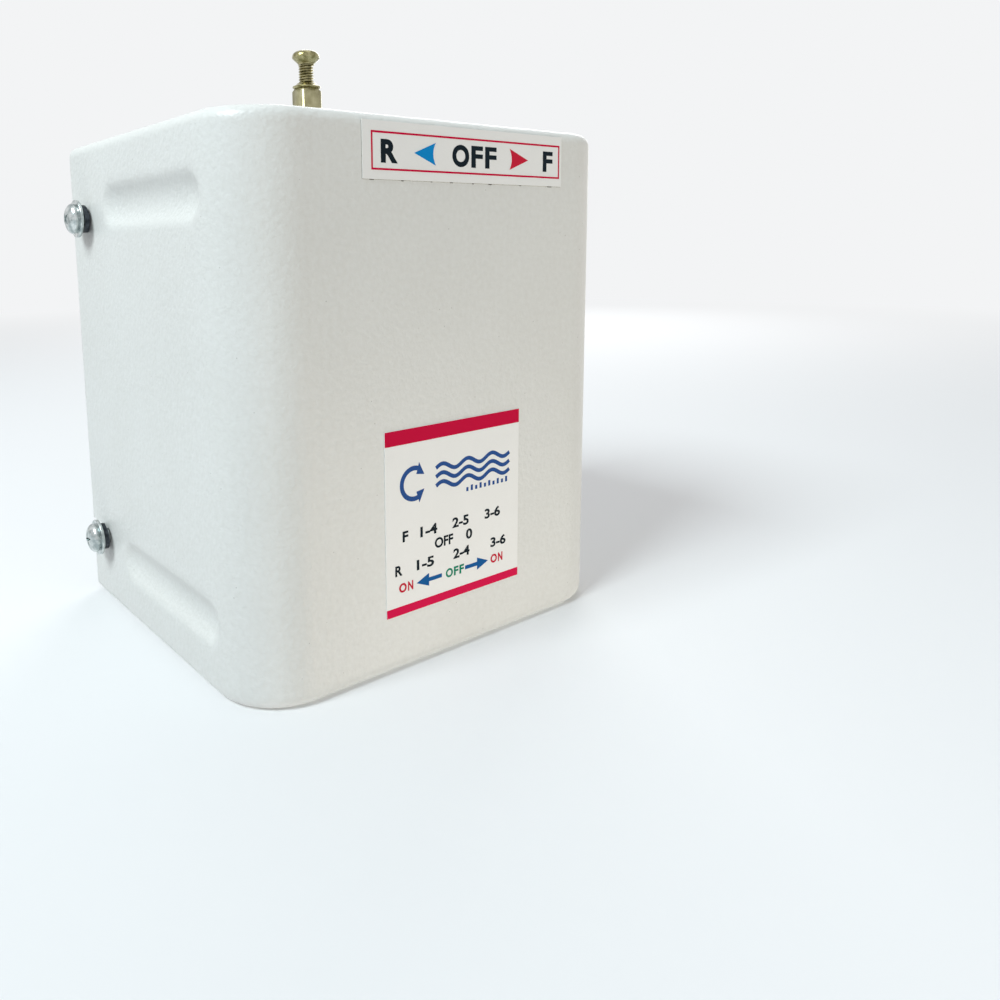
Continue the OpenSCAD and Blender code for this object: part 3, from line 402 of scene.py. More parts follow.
# Screen inks: plain even colours, each with a hair's difference of tone where the label waves
BLACK_INK = Ink("black_screen_ink", "#101c24", shade="#18252d")
CRIMSON_INK = Ink("crimson_screen_ink", "#cf023e", shade="#c8003a")
ROSE_INK = Ink("bright_crimson_screen_ink", "#e2064e", shade="#da0248")
RED_INK = Ink("red_screen_ink", "#d0253f", shade="#c61f39")
SKY_INK = Ink("sky_blue_screen_ink", "#1090d6", shade="#0a7dc2")
BLUE_INK = Ink("blue_screen_ink", "#0a5fa2", shade="#085796")
NAVY_INK = Ink("deep_blue_screen_ink", "#2c5597", shade="#284e8c")
GREEN_INK = Ink("green_screen_ink", "#128a6c", shade="#0e8063")
# Pen ink on the powder coat: thin, greyish blue
PEN_INK = Ink("blue_pen_ink", "#4c5370", 0.5, specular=0.2, shade="#7d8294", wave_mm=0.6)
# Painted shadow and dust along a label's edges: a dull grey brown line
EDGE_SHADOW_AND_DUST = Moulded("painted_edge_shadow_and_dust", "#b3b0a7", 0.9, fleck="#8a857a", fleck_mm=0.8, fleck_share=0.8)
DARK_DUST = Moulded("dark_dust_specks", "#756f63", 0.9, fleck="#514c43", fleck_mm=0.5, fleck_share=0.8)

# The finish of each of the record's material slots
FINISHES: dict[str, Finish] = {
    # Baked powder on steel: an even half gloss that is a little warmer in the shade
    "powder_coat": PowderCoat("white_powder_coat", "#e6e8e5", 0.36),
    "label_position": LABEL_VINYL,
    "label_rating": LABEL_VINYL,
    # Pressed fibre board: brown, dull and fibrous
    "fibre_liner": Moulded(
        "pressed_fibre_board", "#8a7a60", 0.8, fleck="#6d5d45", fleck_mm=1.6, skin_depth_mm=0.03
    ),
    # Bright zinc plate: cool, quite glossy, with faint grey patches
    "zinc_screw": PlatedMetal("bright_zinc_plate", "#d0d5d4", 0.2, tint="#9ea7a7", patch_mm=1.6, spread=0.1),
    # Zinc plate on pressed steel: duller and bluer
    "zinc_steel": PlatedMetal("zinc_plated_sheet", "#b9bec6", tint="#9da3ac", patch_mm=6.0),
    # Pale yellow zinc on drawn bar: warm, with lines along the bar
    "yellow_zinc": PlatedMetal(
        "pale_yellow_zinc_bar", "#b0aa88", 0.34, tint="#9b9573", patch_mm=2.4, grain_mm=0.3, drawn=Axis.Z
    ),
    # Yellow zinc on small turned pieces: warmer and glossier
    "yellow_zinc_screw": PlatedMetal(
        "yellow_zinc_screw", "#b0a983", 0.2, tint="#7c7650", patch_mm=1.4, spread=0.1
    ),
    # Oil-blackened spring steel: dark, with a dull sheen
    "dark_spring_steel": PlatedMetal("blackened_spring_steel", "#4b4f55", 0.38, tint="#2f3338", patch_mm=1.5),
    # Plain spring steel, ground and lightly oiled: grey and half bright
    "spring_steel": PlatedMetal("oiled_spring_steel", "#a9abad", 0.3, tint="#86898d", patch_mm=2.0),
    # Turned bright steel: clean and evenly bright
    "bright_steel": PlatedMetal("turned_bright_steel", "#b8babd", 0.3, tint="#989a9e"),
    # Hard drawn copper: warm with darker tarnish in patches
    "copper": PlatedMetal("hard_drawn_copper", "#cf8a64", 0.3, tint="#b5714f", patch_mm=6.0),
    # Rolled brass: bright yellow with broad, faint patches
    "brass": PlatedMetal("rolled_brass", "#cdb062", 0.32, tint="#bb9c52", patch_mm=9.0),
    # Sintered bronze: dull and porous
    "bronze": PlatedMetal(
        "sintered_bronze", "#a8854f", 0.5, tint="#7c6038", grain_mm=0.4, grain_depth_mm=0.02
    ),
    # Phenolic moulding: very dark brown with wood-flour flecks
    "phenolic": Moulded("phenolic_moulding", "#2c1b14", 0.36),
    # Moulded rubber: black, half dull, with dust rubbed on
    "black_rubber": DustyRubber(
        "dusty_black_rubber", "#0a0f12", 0.42, specular=0.4, fleck="#141a1e", skin_depth_mm=0.012
    ),
}


def at(x: float, y: float, z: float) -> Matrix:
    """Gives the move to a point in millimetres."""
    return Matrix.Translation(Vector((x, y, z)) * MM)


def turned_about(axis: Axis, degrees: float) -> Matrix:
    """Gives a turn about one of the frame's axes."""
    return Matrix.Rotation(math.radians(degrees), 4, Vector(axis.value))


def moved(shape: Shape, *steps: Matrix) -> Shape:
    """Moves a shape by each step in turn.

    Args:
        shape: the shape, which is changed.
        *steps: the matrices, the first one first.

    Returns:
        The same shape.
    """
    for step in steps:
        bmesh.ops.transform(shape, matrix=step, verts=shape.verts)
    return shape


def joined(parts: Iterable[Shape]) -> Shape:
    """Puts several shapes into one and frees them.

    Args:
        parts: the shapes.

    Returns:
        One shape with all their faces.
    """
    whole = bmesh.new()
    carrier = bpy.data.meshes.new("carrier")
    for part in parts:
        part.to_mesh(carrier)
        part.free()
        whole.from_mesh(carrier)
    bpy.data.meshes.remove(carrier)
    return whole


def outline(points: Iterable[Point], closed: bool = False, y: float = 0.0) -> Shape:
    """Starts a shape with a line through points.

    Args:
        points: the places in X, or from the axis, and in Z, in millimetres.
        closed: True where the line comes back to its start.
        y: the line's place in Y.

    Returns:
        The line.
    """
    shape = bmesh.new()
    verts = [shape.verts.new((x * MM, y * MM, z * MM)) for x, z in points]
    for pair in zip(verts, verts[1:] + verts[:1] if closed else verts[1:]):
        shape.edges.new(pair)
    return shape


def swept(
    shape: Shape,
    steps: int,
    degrees: float = 0.0,
    move: Trio = (0.0, 0.0, 0.0),
    centre: Place = (0.0, 0.0, 0.0),
    axis: Trio = Axis.Z.value,
    line: Sequence[Any] | None = None,
) -> list[Any]:
    """Draws a line onwards round an axis, straight on, or both at once.

    Args:
        shape: the shape that holds the line and grows.
        steps: the number of steps.
        degrees: the whole turn, which closes on itself where it is a full one without a move.
        move: the whole move in millimetres.
        centre: the turn's centre in millimetres.
        axis: the turn's axis.
        line: the vertices and edges to draw on, or None for all of them.

    Returns:
        The line at its new place.
    """
    made = bmesh.ops.spin(
        shape,
        geom=line or [*shape.verts, *shape.edges],
        cent=Vector(centre) * MM,
        axis=axis,
        dvec=Vector(move) * MM / steps,
        angle=math.radians(degrees),
        steps=steps,
        use_merge=degrees == 360 and not any(move),
        use_duplicate=False,
    )
    return made["geom_last"]


def eased(shape: Shape, geom: Sequence[Any], width: float, segments: int = 2, affect: str = "EDGES") -> Shape:
    """Bevels a shape's edges, or a line's corners.

    Args:
        shape: the shape, which is changed.
        geom: the edges or vertices to bevel.
        width: the bevel's width in millimetres.
        segments: the number of its steps.
        affect: the operator's word for what it bevels.

    Returns:
        The same shape.
    """
    bmesh.ops.bevel(
        shape,
        geom=geom,
        offset=width * MM,
        offset_type="OFFSET",
        segments=segments,
        profile=0.5,
        affect=affect,
        clamp_overlap=True,
        material=-1,
    )
    return shape


def lathe(profile: Sequence[Point], rounding: float = 0.0, steps: int = 48, ring: bool = False) -> Shape:
    """Spins a profile round the Z axis.

    Args:
        profile: points of radius and height in millimetres, from the axis upwards and back, or round a ring.
        rounding: the radius of the profile's corners.
        steps: the number of steps in the full turn.
        ring: True where the profile closes on itself and stays clear of the axis.

    Returns:
        The turned shape, with its faces outwards.
    """
    shape = outline(profile, ring)
    if rounding:
        corners = list(shape.verts)
        eased(shape, corners if ring else corners[1:-1], rounding, 3, "VERTICES")
    swept(shape, steps, 360)
    bmesh.ops.remove_doubles(shape, verts=shape.verts, dist=HAIR)
    bmesh.ops.recalc_face_normals(shape, faces=shape.faces)
    return shape


def coiled(section: Shape, turns: float, rise: float, steps: int) -> Shape:
    """Winds a closed section into a helix round the Z axis and closes its ends.

    Args:
        section: the section, which is changed.
        turns: the number of turns.
        rise: the whole climb in millimetres.
        steps: the number of steps.

    Returns:
        The same shape, with its faces outwards.
    """
    swept(section, steps, 360 * turns, move=(0.0, 0.0, rise))
    ends = [edge for edge in section.edges if edge.is_boundary]
    bmesh.ops.holes_fill(section, edges=ends, sides=8)
    bmesh.ops.recalc_face_normals(section, faces=section.faces)
    return section


def thickened(shape: Shape, way: Trio) -> Shape:
    """Gives flat faces a thickness.

    Args:
        shape: the faces, which are changed.
        way: the thickness along each axis, in millimetres.

    Returns:
        The closed shape, with its faces outwards.
    """
    made = bmesh.ops.extrude_face_region(shape, geom=list(shape.faces))
    fore = [item for item in made["geom"] if isinstance(item, bmesh.types.BMVert)]
    bmesh.ops.translate(shape, verts=fore, vec=Vector(way) * MM)
    bmesh.ops.recalc_face_normals(shape, faces=shape.faces)
    return shape


def block(size: Trio, centre: Place, edge: float = 0.0) -> Shape:
    """Makes a block with eased edges.

    Args:
        size: its three lengths in millimetres.
        centre: its middle in millimetres.
        edge: the width of its eased edges.

    Returns:
        The block.
    """
    shape = bmesh.new()
    bmesh.ops.create_cube(shape, size=MM)
    moved(shape, Matrix.Diagonal((*size, 1.0)), at(*centre))
    return eased(shape, list(shape.edges), edge) if edge else shape


def placed(name: str, data: bpy.types.ID) -> bpy.types.Object:
    """Makes an object of a mesh, a curve, a lamp or a lens, and links it to the scene.

    Args:
        name: the object's name.
        data: what it shows.

    Returns:
        The object.
    """
    obj = bpy.data.objects.new(name, data)
    bpy.context.scene.collection.objects.link(obj)
    return obj


def carrier_of(shape: Shape, name: str) -> bpy.types.Object:
    """Puts a shape into an object that modifiers can work on, and frees it.

    Args:
        shape: the shape, which is used up.
        name: the object's name.

    Returns:
        The object.
    """
    mesh = bpy.data.meshes.new(name)
    shape.to_mesh(mesh)
    shape.free()
    return placed(name, mesh)


def evaluated(obj: bpy.types.Object) -> Shape:
    """Gives an object's shape with its modifiers applied, and removes the object.

    Args:
        obj: the object to use up.

    Returns:
        The finished shape.
    """
    bpy.context.view_layer.update()
    mesh = bpy.data.meshes.new_from_object(obj.evaluated_get(bpy.context.evaluated_depsgraph_get()))
    shape = bmesh.new()
    shape.from_mesh(mesh)
    bpy.data.meshes.remove(mesh)
    bpy.data.objects.remove(obj)
    return shape


def combined(first: Shape, second: Shape, operation: str) -> Shape:
    """Joins or cuts two closed shapes and frees both.

    Args:
        first: the shape that is kept.
        second: the shape that is added or taken away.
        operation: the Boolean modifier's operation.

    Returns:
        The new shape.
    """
    body, other = carrier_of(first, "body"), carrier_of(second, "other")
    change = body.modifiers.new("change", "BOOLEAN")
    change.operation, change.object, change.solver = operation, other, "EXACT"
    shape = evaluated(body)
    bpy.data.objects.remove(other)
    return shape


def merged_copy(node: str) -> Shape:
    """Copies a CAD node's mesh and merges its doubled corners.

    Args:
        node: the CAD node.

    Returns:
        The copy.
    """
    shape = bmesh.new()
    shape.from_mesh(frame["nodes"][node].data)
    bmesh.ops.remove_doubles(shape, verts=shape.verts, dist=2 * HAIR)
    return shape


def dress(node: str) -> None:
    """Gives a CAD node that keeps its shape the finish of its slot.

    Args:
        node: the CAD node.
    """
    finish = FINISHES[SLOTS[node]]
    for slot in frame["nodes"][node].material_slots:
        slot.material = material_of(finish)
    log.info("%s: dressed in %s", node, finish.name)


def new_piece(
    name: str, shape: Shape, node: str, layer: Finish | None = None, crease: float = 35.0
) -> bpy.types.Object:
    """Turns a shape into a finished piece that rides on its CAD node's body, with the node's slot.

    Args:
        name: the piece's name.
        shape: its shape, which is used up.
        node: the CAD node that it stands for, or that it lies on.
        layer: the finish of what lies on the node, or None for a piece that stands for the node.
        crease: the angle in degrees past which an edge shades sharp.

    Returns:
        The piece's object.
    """
    obj = carrier_of(shape, name)
    obj.data.materials.append(material_of(layer or FINISHES[SLOTS[node]]))
    obj.data.shade_smooth()
    obj.data.set_sharp_from_angle(angle=math.radians(crease))
    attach(obj, BODIES[node])
    if layer is None:
        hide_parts(node)
    log.info("%s: %d faces on %s", name, len(obj.data.polygons), BODIES[node])
    return obj


@dataclass(frozen=True)
class Wrapper:
    """The cover: one wrapper of sheet steel with rolled rims, pressed recesses and screw notches."""

    width: float = 115.0
    depth: float = 96.0
    height: float = 129.0
    sheet: float = 1.2
    corner: float = 16.0
    rolled: float = 3.0
    rim: float = 5.4
    recess_length: float = 56.0
    recess_height: float = 10.5
    recess_depth: float = 2.0
    recess_from_end: float = 17.2
    recess_from_front: float = 15.0
    recess_softness: float = 0.55
    recess_reach: float = 9.5
    notch_width: float = 4.6
    notch_from_rear: float = 12.0
    notch_from_end: float = 20.0
    cutter: float = 10.0
    cutter_clear: float = 3.0
    raw_edge: float = 0.3
    grid: float = 1.0
    corner_steps: int = 14
    rolled_steps: int = 7

    def wrapped(self) -> Shape:
        """Wraps the section round the case, from the left rear edge to the right one.

        Returns:
            The cover's outer skin.
        """
        left, rear = -self.width / 2, self.depth / 2
        section = ((left + self.rim, 0), (left, 0), (left, self.height), (left + self.rim, self.height))
        shape = outline(section, y=rear)
        eased(shape, list(shape.verts)[1:3], self.rolled, self.rolled_steps, "VERTICES")
        wall = max(shape.edges, key=lambda edge: edge.calc_length())
        cuts = round((self.height - 2 * self.rolled) / self.grid) - 1
        bmesh.ops.subdivide_edges(shape, edges=[wall], cuts=cuts)
        side, bend_x, bend_y = self.depth - self.corner, left + self.corner, self.corner - rear
        side_steps = round(side / self.grid)
        line = swept(shape, side_steps, move=(0, -side, 0))
        line = swept(shape, self.corner_steps, 90, centre=(bend_x, bend_y, 0), line=line)
        line = swept(shape, 1, move=(-2 * bend_x, 0, 0), line=line)
        line = swept(shape, self.corner_steps, 90, centre=(-bend_x, bend_y, 0), line=line)
        swept(shape, side_steps, move=(0, side, 0), line=line)
        bmesh.ops.remove_doubles(shape, verts=shape.verts, dist=HAIR)
        bmesh.ops.recalc_face_normals(shape, faces=shape.faces)
        foremost = min(shape.faces, key=lambda face: face.calc_center_median().y)
        if foremost.normal.y > 0:
            bmesh.ops.reverse_faces(shape, faces=shape.faces)
        return shape

    def pressed(self, shape: Shape) -> Shape:
        """Presses the four recesses into the side walls, with soft edges.

        Args:
            shape: the outer skin, which is changed.

        Returns:
            The same skin.
        """
        half, depth, soft = self.recess_height / 2, self.recess_depth, self.recess_softness
        radius = (half * half + depth * depth) / (2 * depth)
        start = self.recess_from_front - self.depth / 2
        y0, y1 = start + half, start + self.recess_length - half
        for vert in shape.verts:
            x, y, z = vert.co / MM
            if abs(x) < self.width / 2 - depth:
                continue
            rise = min(abs(z - self.recess_from_end), abs(z - self.height + self.recess_from_end))
            reach = math.hypot(rise, max(y0 - y, 0, y - y1))
            if reach < self.recess_reach:
                bowl = math.sqrt(max(radius**2 - reach**2, 0)) - (radius - depth) - max(reach - radius, 0)
                vert.co.x -= math.copysign((bowl + math.hypot(bowl, soft)) / 2 * MM, x)
        return shape

    def notch_tool(self) -> Shape:
        """Makes the four cutters of the screws' notches, open to the rear.

        Returns:
            The cutters.
        """
        screw_y, half = self.depth / 2 - self.notch_from_rear, self.cutter / 2
        radius, length = self.notch_width / 2, self.notch_from_rear + self.cutter_clear
        profile = ((0, -half), (radius, -half), (radius, half), (0, half))
        tools = []
        for side in (-1, 1):
            for z in (self.notch_from_end, self.height - self.notch_from_end):
                x = side * self.width / 2
                round_end = moved(lathe(profile), turned_about(Axis.Y, 90), at(x, screw_y, z))
                slot = block((self.cutter, length, self.notch_width), (x, screw_y + length / 2, z))
                tools.append(combined(round_end, slot, "UNION"))
        return joined(tools)

    def build(self) -> None:
        """Builds the cover in place of its CAD node, and dresses the liner."""
        skin = carrier_of(self.pressed(self.wrapped()), "skin")
        wall = skin.modifiers.new("wall", "SOLIDIFY")
        wall.thickness, wall.offset, wall.use_even_offset = self.sheet * MM, -1.0, True
        edges = skin.modifiers.new("edges", "BEVEL")
        edges.width, edges.segments, edges.angle_limit = self.raw_edge * MM, 2, math.radians(60)
        new_piece("cover_wrapper", combined(evaluated(skin), self.notch_tool(), "DIFFERENCE"), "cover")
        dress("cover_liner")


@dataclass(frozen=True)
class Print:
    """Ink on a label: flat shapes on the front of the case, a hair thicker than nothing."""

    node: str = "label_position"
    face: float = -48.2
    ink: float = 0.03

    def stood(self, shape: Shape) -> Shape:
        """Gives a flat shape drawn in X and Z its thickness, in front of the label.

        Args:
            shape: faces in the plane y = 0, which are changed.

        Returns:
            The ink as a closed shape.
        """
        bmesh.ops.recalc_face_normals(shape, faces=shape.faces)
        bmesh.ops.reverse_faces(shape, faces=[face for face in shape.faces if face.normal.y < 0])
        return moved(thickened(shape, (0, -self.ink, 0)), at(0, self.face, 0))

    def flat(self, points: Sequence[Point]) -> Shape:
        """Makes one flat patch of ink.

        Args:
            points: its outline in X and Z.

        Returns:
            The patch.
        """
        shape = outline(points, closed=True)
        shape.faces.new(shape.verts)
        return self.stood(shape)

    def bar(self, x0: float, x1: float, z0: float, z1: float) -> Shape:
        """Makes a straight-sided patch of ink between two places in X and in Z."""
        return self.flat(((x0, z0), (x1, z0), (x1, z1), (x0, z1)))

    def words(self, places: Words, z0: float, z1: float, weight: float) -> Shape:
        """Sets words or single letters, each between its own two places across.

        Args:
            places: each word with its left and right side.
            z0: the words' lower side.
            z1: their upper side.
            weight: how much the strokes are thickened, as a share of the type size.

        Returns:
            The words as ink.
        """
        line = []
        for text, x0, x1 in places:
            curve = bpy.data.curves.new("legend", "FONT")
            curve.body, curve.offset = text, weight
            shape = evaluated(placed("legend", curve))
            bpy.data.curves.remove(curve)
            bmesh.ops.remove_doubles(shape, verts=shape.verts, dist=TYPE_HAIR)
            xs, ys = [vert.co.x for vert in shape.verts], [vert.co.y for vert in shape.verts]
            to_corner = Matrix.Translation((-min(xs), -min(ys), 0))
            wide, high = (x1 - x0) * MM / (max(xs) - min(xs)), (z1 - z0) * MM / (max(ys) - min(ys))
            to_size = Matrix.Diagonal((wide, high, 1.0, 1.0))
            line.append(self.stood(moved(shape, to_corner, to_size, turned_about(Axis.X, 90), at(x0, 0, z0))))
        return joined(line)

    def ribbon(self, points: Sequence[Point], width: float) -> Shape:
        """Draws a line of even width through points.

        Args:
            points: the line's middle in X and Z.
            width: its width.

        Returns:
            The line as ink.
        """
        sides = []
        for index, (x, z) in enumerate(points):
            (x0, z0), (x1, z1) = points[max(index - 1, 0)], points[min(index + 1, len(points) - 1)]
            along = Vector((x1 - x0, z1 - z0)).normalized() * width / 2
            sides.append(((x - along.y, z + along.x), (x + along.y, z - along.x)))
        return joined(self.flat((a[0], b[0], b[1], a[1])) for a, b in zip(sides, sides[1:]))

    def printed(self, name: str, finish: Finish, shapes: Iterable[Shape]) -> None:
        """Makes one piece of all the shapes in one ink."""
        new_piece(name, joined(shapes), self.node, finish)


@dataclass(frozen=True)
class PositionLabel(Print):
    """The label at the top of the front: R, OFF and F in a thin red frame, with two arrows."""

    left: float = -24.2
    right: float = 35.5
    low: float = 116.85
    high: float = 125.05
    line: float = 0.42
    cap_low: float = 118.42
    cap_high: float = 123.4
    hollow: float = 0.75
    wide_letters: Words = (("R", -21.6, -17.0), ("O", -1.0, 4.25))
    wide_weight: float = 0.045
    narrow_letters: Words = (("F", 4.95, 8.65), ("F", 9.4, 13.15), ("F", 29.4, 32.95))
    narrow_weight: float = 0.032
    # Tip and base of each arrow
    reverse_arrow: Pair = (-12.3, -6.0)
    forward_arrow: Pair = (24.05, 17.6)
    # The vinyl's own sides, and the wall that it lies on
    sheet_left: float = -26.5
    sheet_right: float = 36.3
    sheet_low: float = 114.9
    sheet_high: float = 127.0
    wall: float = -48.0
    # The left side, width and height of each dust speck under the label
    specks: tuple[Trio, ...] = (
        (-24.6, 1.2, 0.2), (-15.9, 0.6, 0.25), (-7.4, 0.5, 0.2), (-1.6, 0.9, 0.22),
        (5.4, 0.5, 0.28), (10.7, 1.1, 0.26), (21.2, 0.7, 0.2), (31.3, 1.6, 0.22),
    )
    # Width of the painted shadow-and-dust line along the label's lower and left edges, and how far the left
    # one reaches below the corner
    shadow_and_dust_width: float = 0.12
    shadow_and_dust_reach: float = 0.1

    def pointer(self, tip: float, base: float) -> Shape:
        """Makes an arrow head with a hollow base.

        Args:
            tip: the tip's place across.
            base: the place across of its two rear corners.

        Returns:
            The arrow head as ink.
        """
        middle, half = (self.cap_low + self.cap_high) / 2, (self.cap_high - self.cap_low) / 2
        inward = math.copysign(self.hollow, tip - base)
        shares = [step / 4 - 1 for step in range(9)]
        bend = [(base + inward * (1 - share * share), middle + share * half) for share in shares]
        return self.flat([(tip, middle), *bend])

    def frame_line(self) -> list[Shape]:
        """Draws the four sides of the thin frame.

        Returns:
            The sides as ink.
        """
        inner_low, inner_high = self.low + self.line, self.high - self.line
        return [
            self.bar(self.left, self.right, inner_high, self.high),
            self.bar(self.left, self.right, self.low, inner_low),
            self.bar(self.left, self.left + self.line, inner_low, inner_high),
            self.bar(self.right - self.line, self.right, inner_low, inner_high),
        ]

    def dust(self) -> None:
        """Lays a painted shadow line with dust along the label's lower and left edges, and dust specks under
        its lower edge.
        """
        under, left, foot = Print(face=self.wall), self.sheet_left, self.sheet_low
        # Painted shadow: a dark line in the colour of dust under the label's lower and left edges
        line = [
            under.bar(left, self.sheet_right, foot - self.shadow_and_dust_width, foot),
            under.bar(left - self.shadow_and_dust_width, left, foot - self.shadow_and_dust_reach, self.sheet_high),
        ]
        specks = [under.bar(x, x + width, foot - height, foot) for x, width, height in self.specks]
        under.printed("label_edge_shadow_and_dust", EDGE_SHADOW_AND_DUST, line)
        under.printed("label_edge_specks", DARK_DUST, specks)

    def build(self) -> None:
        """Dresses the label, prints it, and lays the painted edge shadow and the dust."""
        dress(self.node)
        letters = [
            self.words(self.wide_letters, self.cap_low, self.cap_high, self.wide_weight),
            self.words(self.narrow_letters, self.cap_low, self.cap_high, self.narrow_weight),
        ]
        self.printed("position_frame_print", CRIMSON_INK, self.frame_line())
        self.printed("position_letters_print", BLACK_INK, letters)
        self.printed("reverse_arrow_print", SKY_INK, [self.pointer(*self.reverse_arrow)])
        self.printed("forward_arrow_print", RED_INK, [self.pointer(*self.forward_arrow)])
        self.dust()


@dataclass(frozen=True)
class LowerLabel(Print):
    """The lower label: two crimson bars, a turning sign with waves, a contact chart and the positions."""

    node: str = "label_rating"
    left: float = -21.7
    right: float = 21.7
    low: float = 14.3
    high: float = 58.9
    top_bar: float = 3.5
    bottom_bar: float = 2.1
    row_low: float = 19.75
    row_high: float = 22.05
    arrow_thin: float = 0.5
    arrow_wide: float = 1.6
    ring_centre: Point = (-13.2, 45.6)
    ring_radius: float = 3.7
    ring_stroke: float = 1.15
    ring_start: float = 288.0
    ring_sweep: float = -216.0
    ring_steps: int = 28
    # The ring's heads: length and half width in strokes, and the tip's reach as a share of the radius
    head_length: float = 2.4
    head_spread: float = 1.25
    head_reach: float = 0.97
    waves_left: float = -6.4
    waves_right: float = 18.3
    wave_heights: tuple[float, ...] = (48.1, 45.9, 43.7)
    wave_swing: float = 0.8
    wave_count: float = 3.0
    wave_stroke: float = 1.0
    wave_steps: int = 72
    tick_left: float = 3.4
    tick_pitch: float = 1.5
    tick_width: float = 0.7
    tick_low: float = 40.5
    tick_height: float = 1.0
    tick_rise: float = 0.4
    tick_count: int = 10
    # The chart's three rows of words, then each row's lower side, upper side and weight of stroke
    chart_words: tuple[Words, ...] = (
        (("F", -16.8, -15.1), ("1-4", -11.4, -6.1), ("2-5", -1.2, 4.2), ("3-6", 9.7, 15.1)),
        (("OFF", -6.9, -1.0), ("0", 3.3, 5.4)),
        (("R", -19.1, -17.0), ("1-5", -12.6, -7.2), ("2-4", -0.9, 4.5), ("3-6", 11.8, 17.2)),
    )
    chart_rows: tuple[Trio, ...] = ((32.0, 34.6, 0.031), (28.15, 30.75, 0.03), (24.05, 26.6, 0.031))
    on: Words = (("O", -18.0, -15.75), ("N", -15.35, -13.75), ("O", 11.85, 14.1), ("N", 14.5, 16.1))
    on_weight: float = 0.036
    off: Words = (("O", -3.4, -1.1), ("F", -0.75, 0.75), ("F", 1.1, 2.6))
    off_weight: float = 0.034
    # Tail, neck and tip of the two arrows in the row of positions
    row_arrows: tuple[Trio, ...] = ((-4.7, -8.8, -12.7), (3.0, 7.1, 10.9))

    def arrow(self, tail: float, neck: float, tip: float) -> Shape:
        """Makes a straight arrow in the row of positions.

        Args:
            tail: the tail's place across.
            neck: the head's root.
            tip: the tip.

        Returns:
            The arrow as ink.
        """
        middle = (self.row_low + self.row_high) / 2
        half = [(tail, self.arrow_thin), (neck, self.arrow_thin), (neck, self.arrow_wide)]
        upper = [(x, middle + z) for x, z in reversed(half)]
        return self.flat([*((x, middle - z) for x, z in half), (tip, middle), *upper])

    def ring_arrow(self) -> Shape:
        """Makes the ring-shaped arrow with a head at each end: the sign for turning both ways.

        Returns:
            The arrow as ink.
        """
        radius, stroke, sweep = self.ring_radius, self.ring_stroke, self.ring_sweep
        shape = outline(((radius - stroke / 2, 0), (radius + stroke / 2, 0)))
        swept(shape, self.ring_steps, sweep, axis=(0, -1, 0))
        for end in (0.0, math.radians(sweep)):
            tip = end + math.copysign(self.head_length * stroke / radius, sweep if end else -sweep)
            corners = [(radius + k * self.head_spread * stroke, end) for k in (-1, 1)]
            corners.append((radius * self.head_reach, tip))
            head = [(r * math.cos(a) * MM, 0, r * math.sin(a) * MM) for r, a in corners]
            shape.faces.new([shape.verts.new(corner) for corner in head])
        x, z = self.ring_centre
        return self.stood(moved(shape, turned_about(Axis.Y, -self.ring_start), at(x, 0, z)))

    def waves(self) -> list[Shape]:
        """Draws the sign for three-phase current: three waves, one above the other.

        Returns:
            The waves as ink.
        """
        shares = [step / self.wave_steps for step in range(self.wave_steps + 1)]
        width = self.waves_right - self.waves_left
        lines = []
        for z in self.wave_heights:
            swings = [self.wave_swing * math.sin(FULL_TURN * self.wave_count * share) for share in shares]
            points = [(self.waves_left + share * width, z + swing) for share, swing in zip(shares, swings)]
            lines.append(self.ribbon(points, self.wave_stroke))
        return lines

    def ticks(self) -> list[Shape]:
        """Draws the row of small bars, every second one taller.

        Returns:
            The bars as ink.
        """
        lefts = [self.tick_left + k * self.tick_pitch for k in range(self.tick_count)]
        low, rise = self.tick_low + self.tick_height, self.tick_rise
        tops = [low + rise * (k % 2) for k in range(self.tick_count)]
        return [self.bar(x, x + self.tick_width, self.tick_low, top) for x, top in zip(lefts, tops)]

    def build(self) -> None:
        """Dresses the label and prints it."""
        dress(self.node)
        row = self.row_low, self.row_high
        chart = [self.words(words, *sides) for words, sides in zip(self.chart_words, self.chart_rows)]
        upper = self.bar(self.left, self.right, self.high - self.top_bar, self.high)
        lower = self.bar(self.left, self.right, self.low, self.low + self.bottom_bar)
        self.printed("top_bar_print", CRIMSON_INK, [upper])
        self.printed("bottom_bar_print", ROSE_INK, [lower])
        self.printed("turning_sign_print", NAVY_INK, [self.ring_arrow(), *self.waves(), *self.ticks()])
        self.printed("chart_print", BLACK_INK, chart)
        self.printed("on_print", RED_INK, [self.words(self.on, *row, self.on_weight)])
        self.printed("off_print", GREEN_INK, [self.words(self.off, *row, self.off_weight)])
        self.printed("row_arrows_print", BLUE_INK, [self.arrow(*places) for places in self.row_arrows])


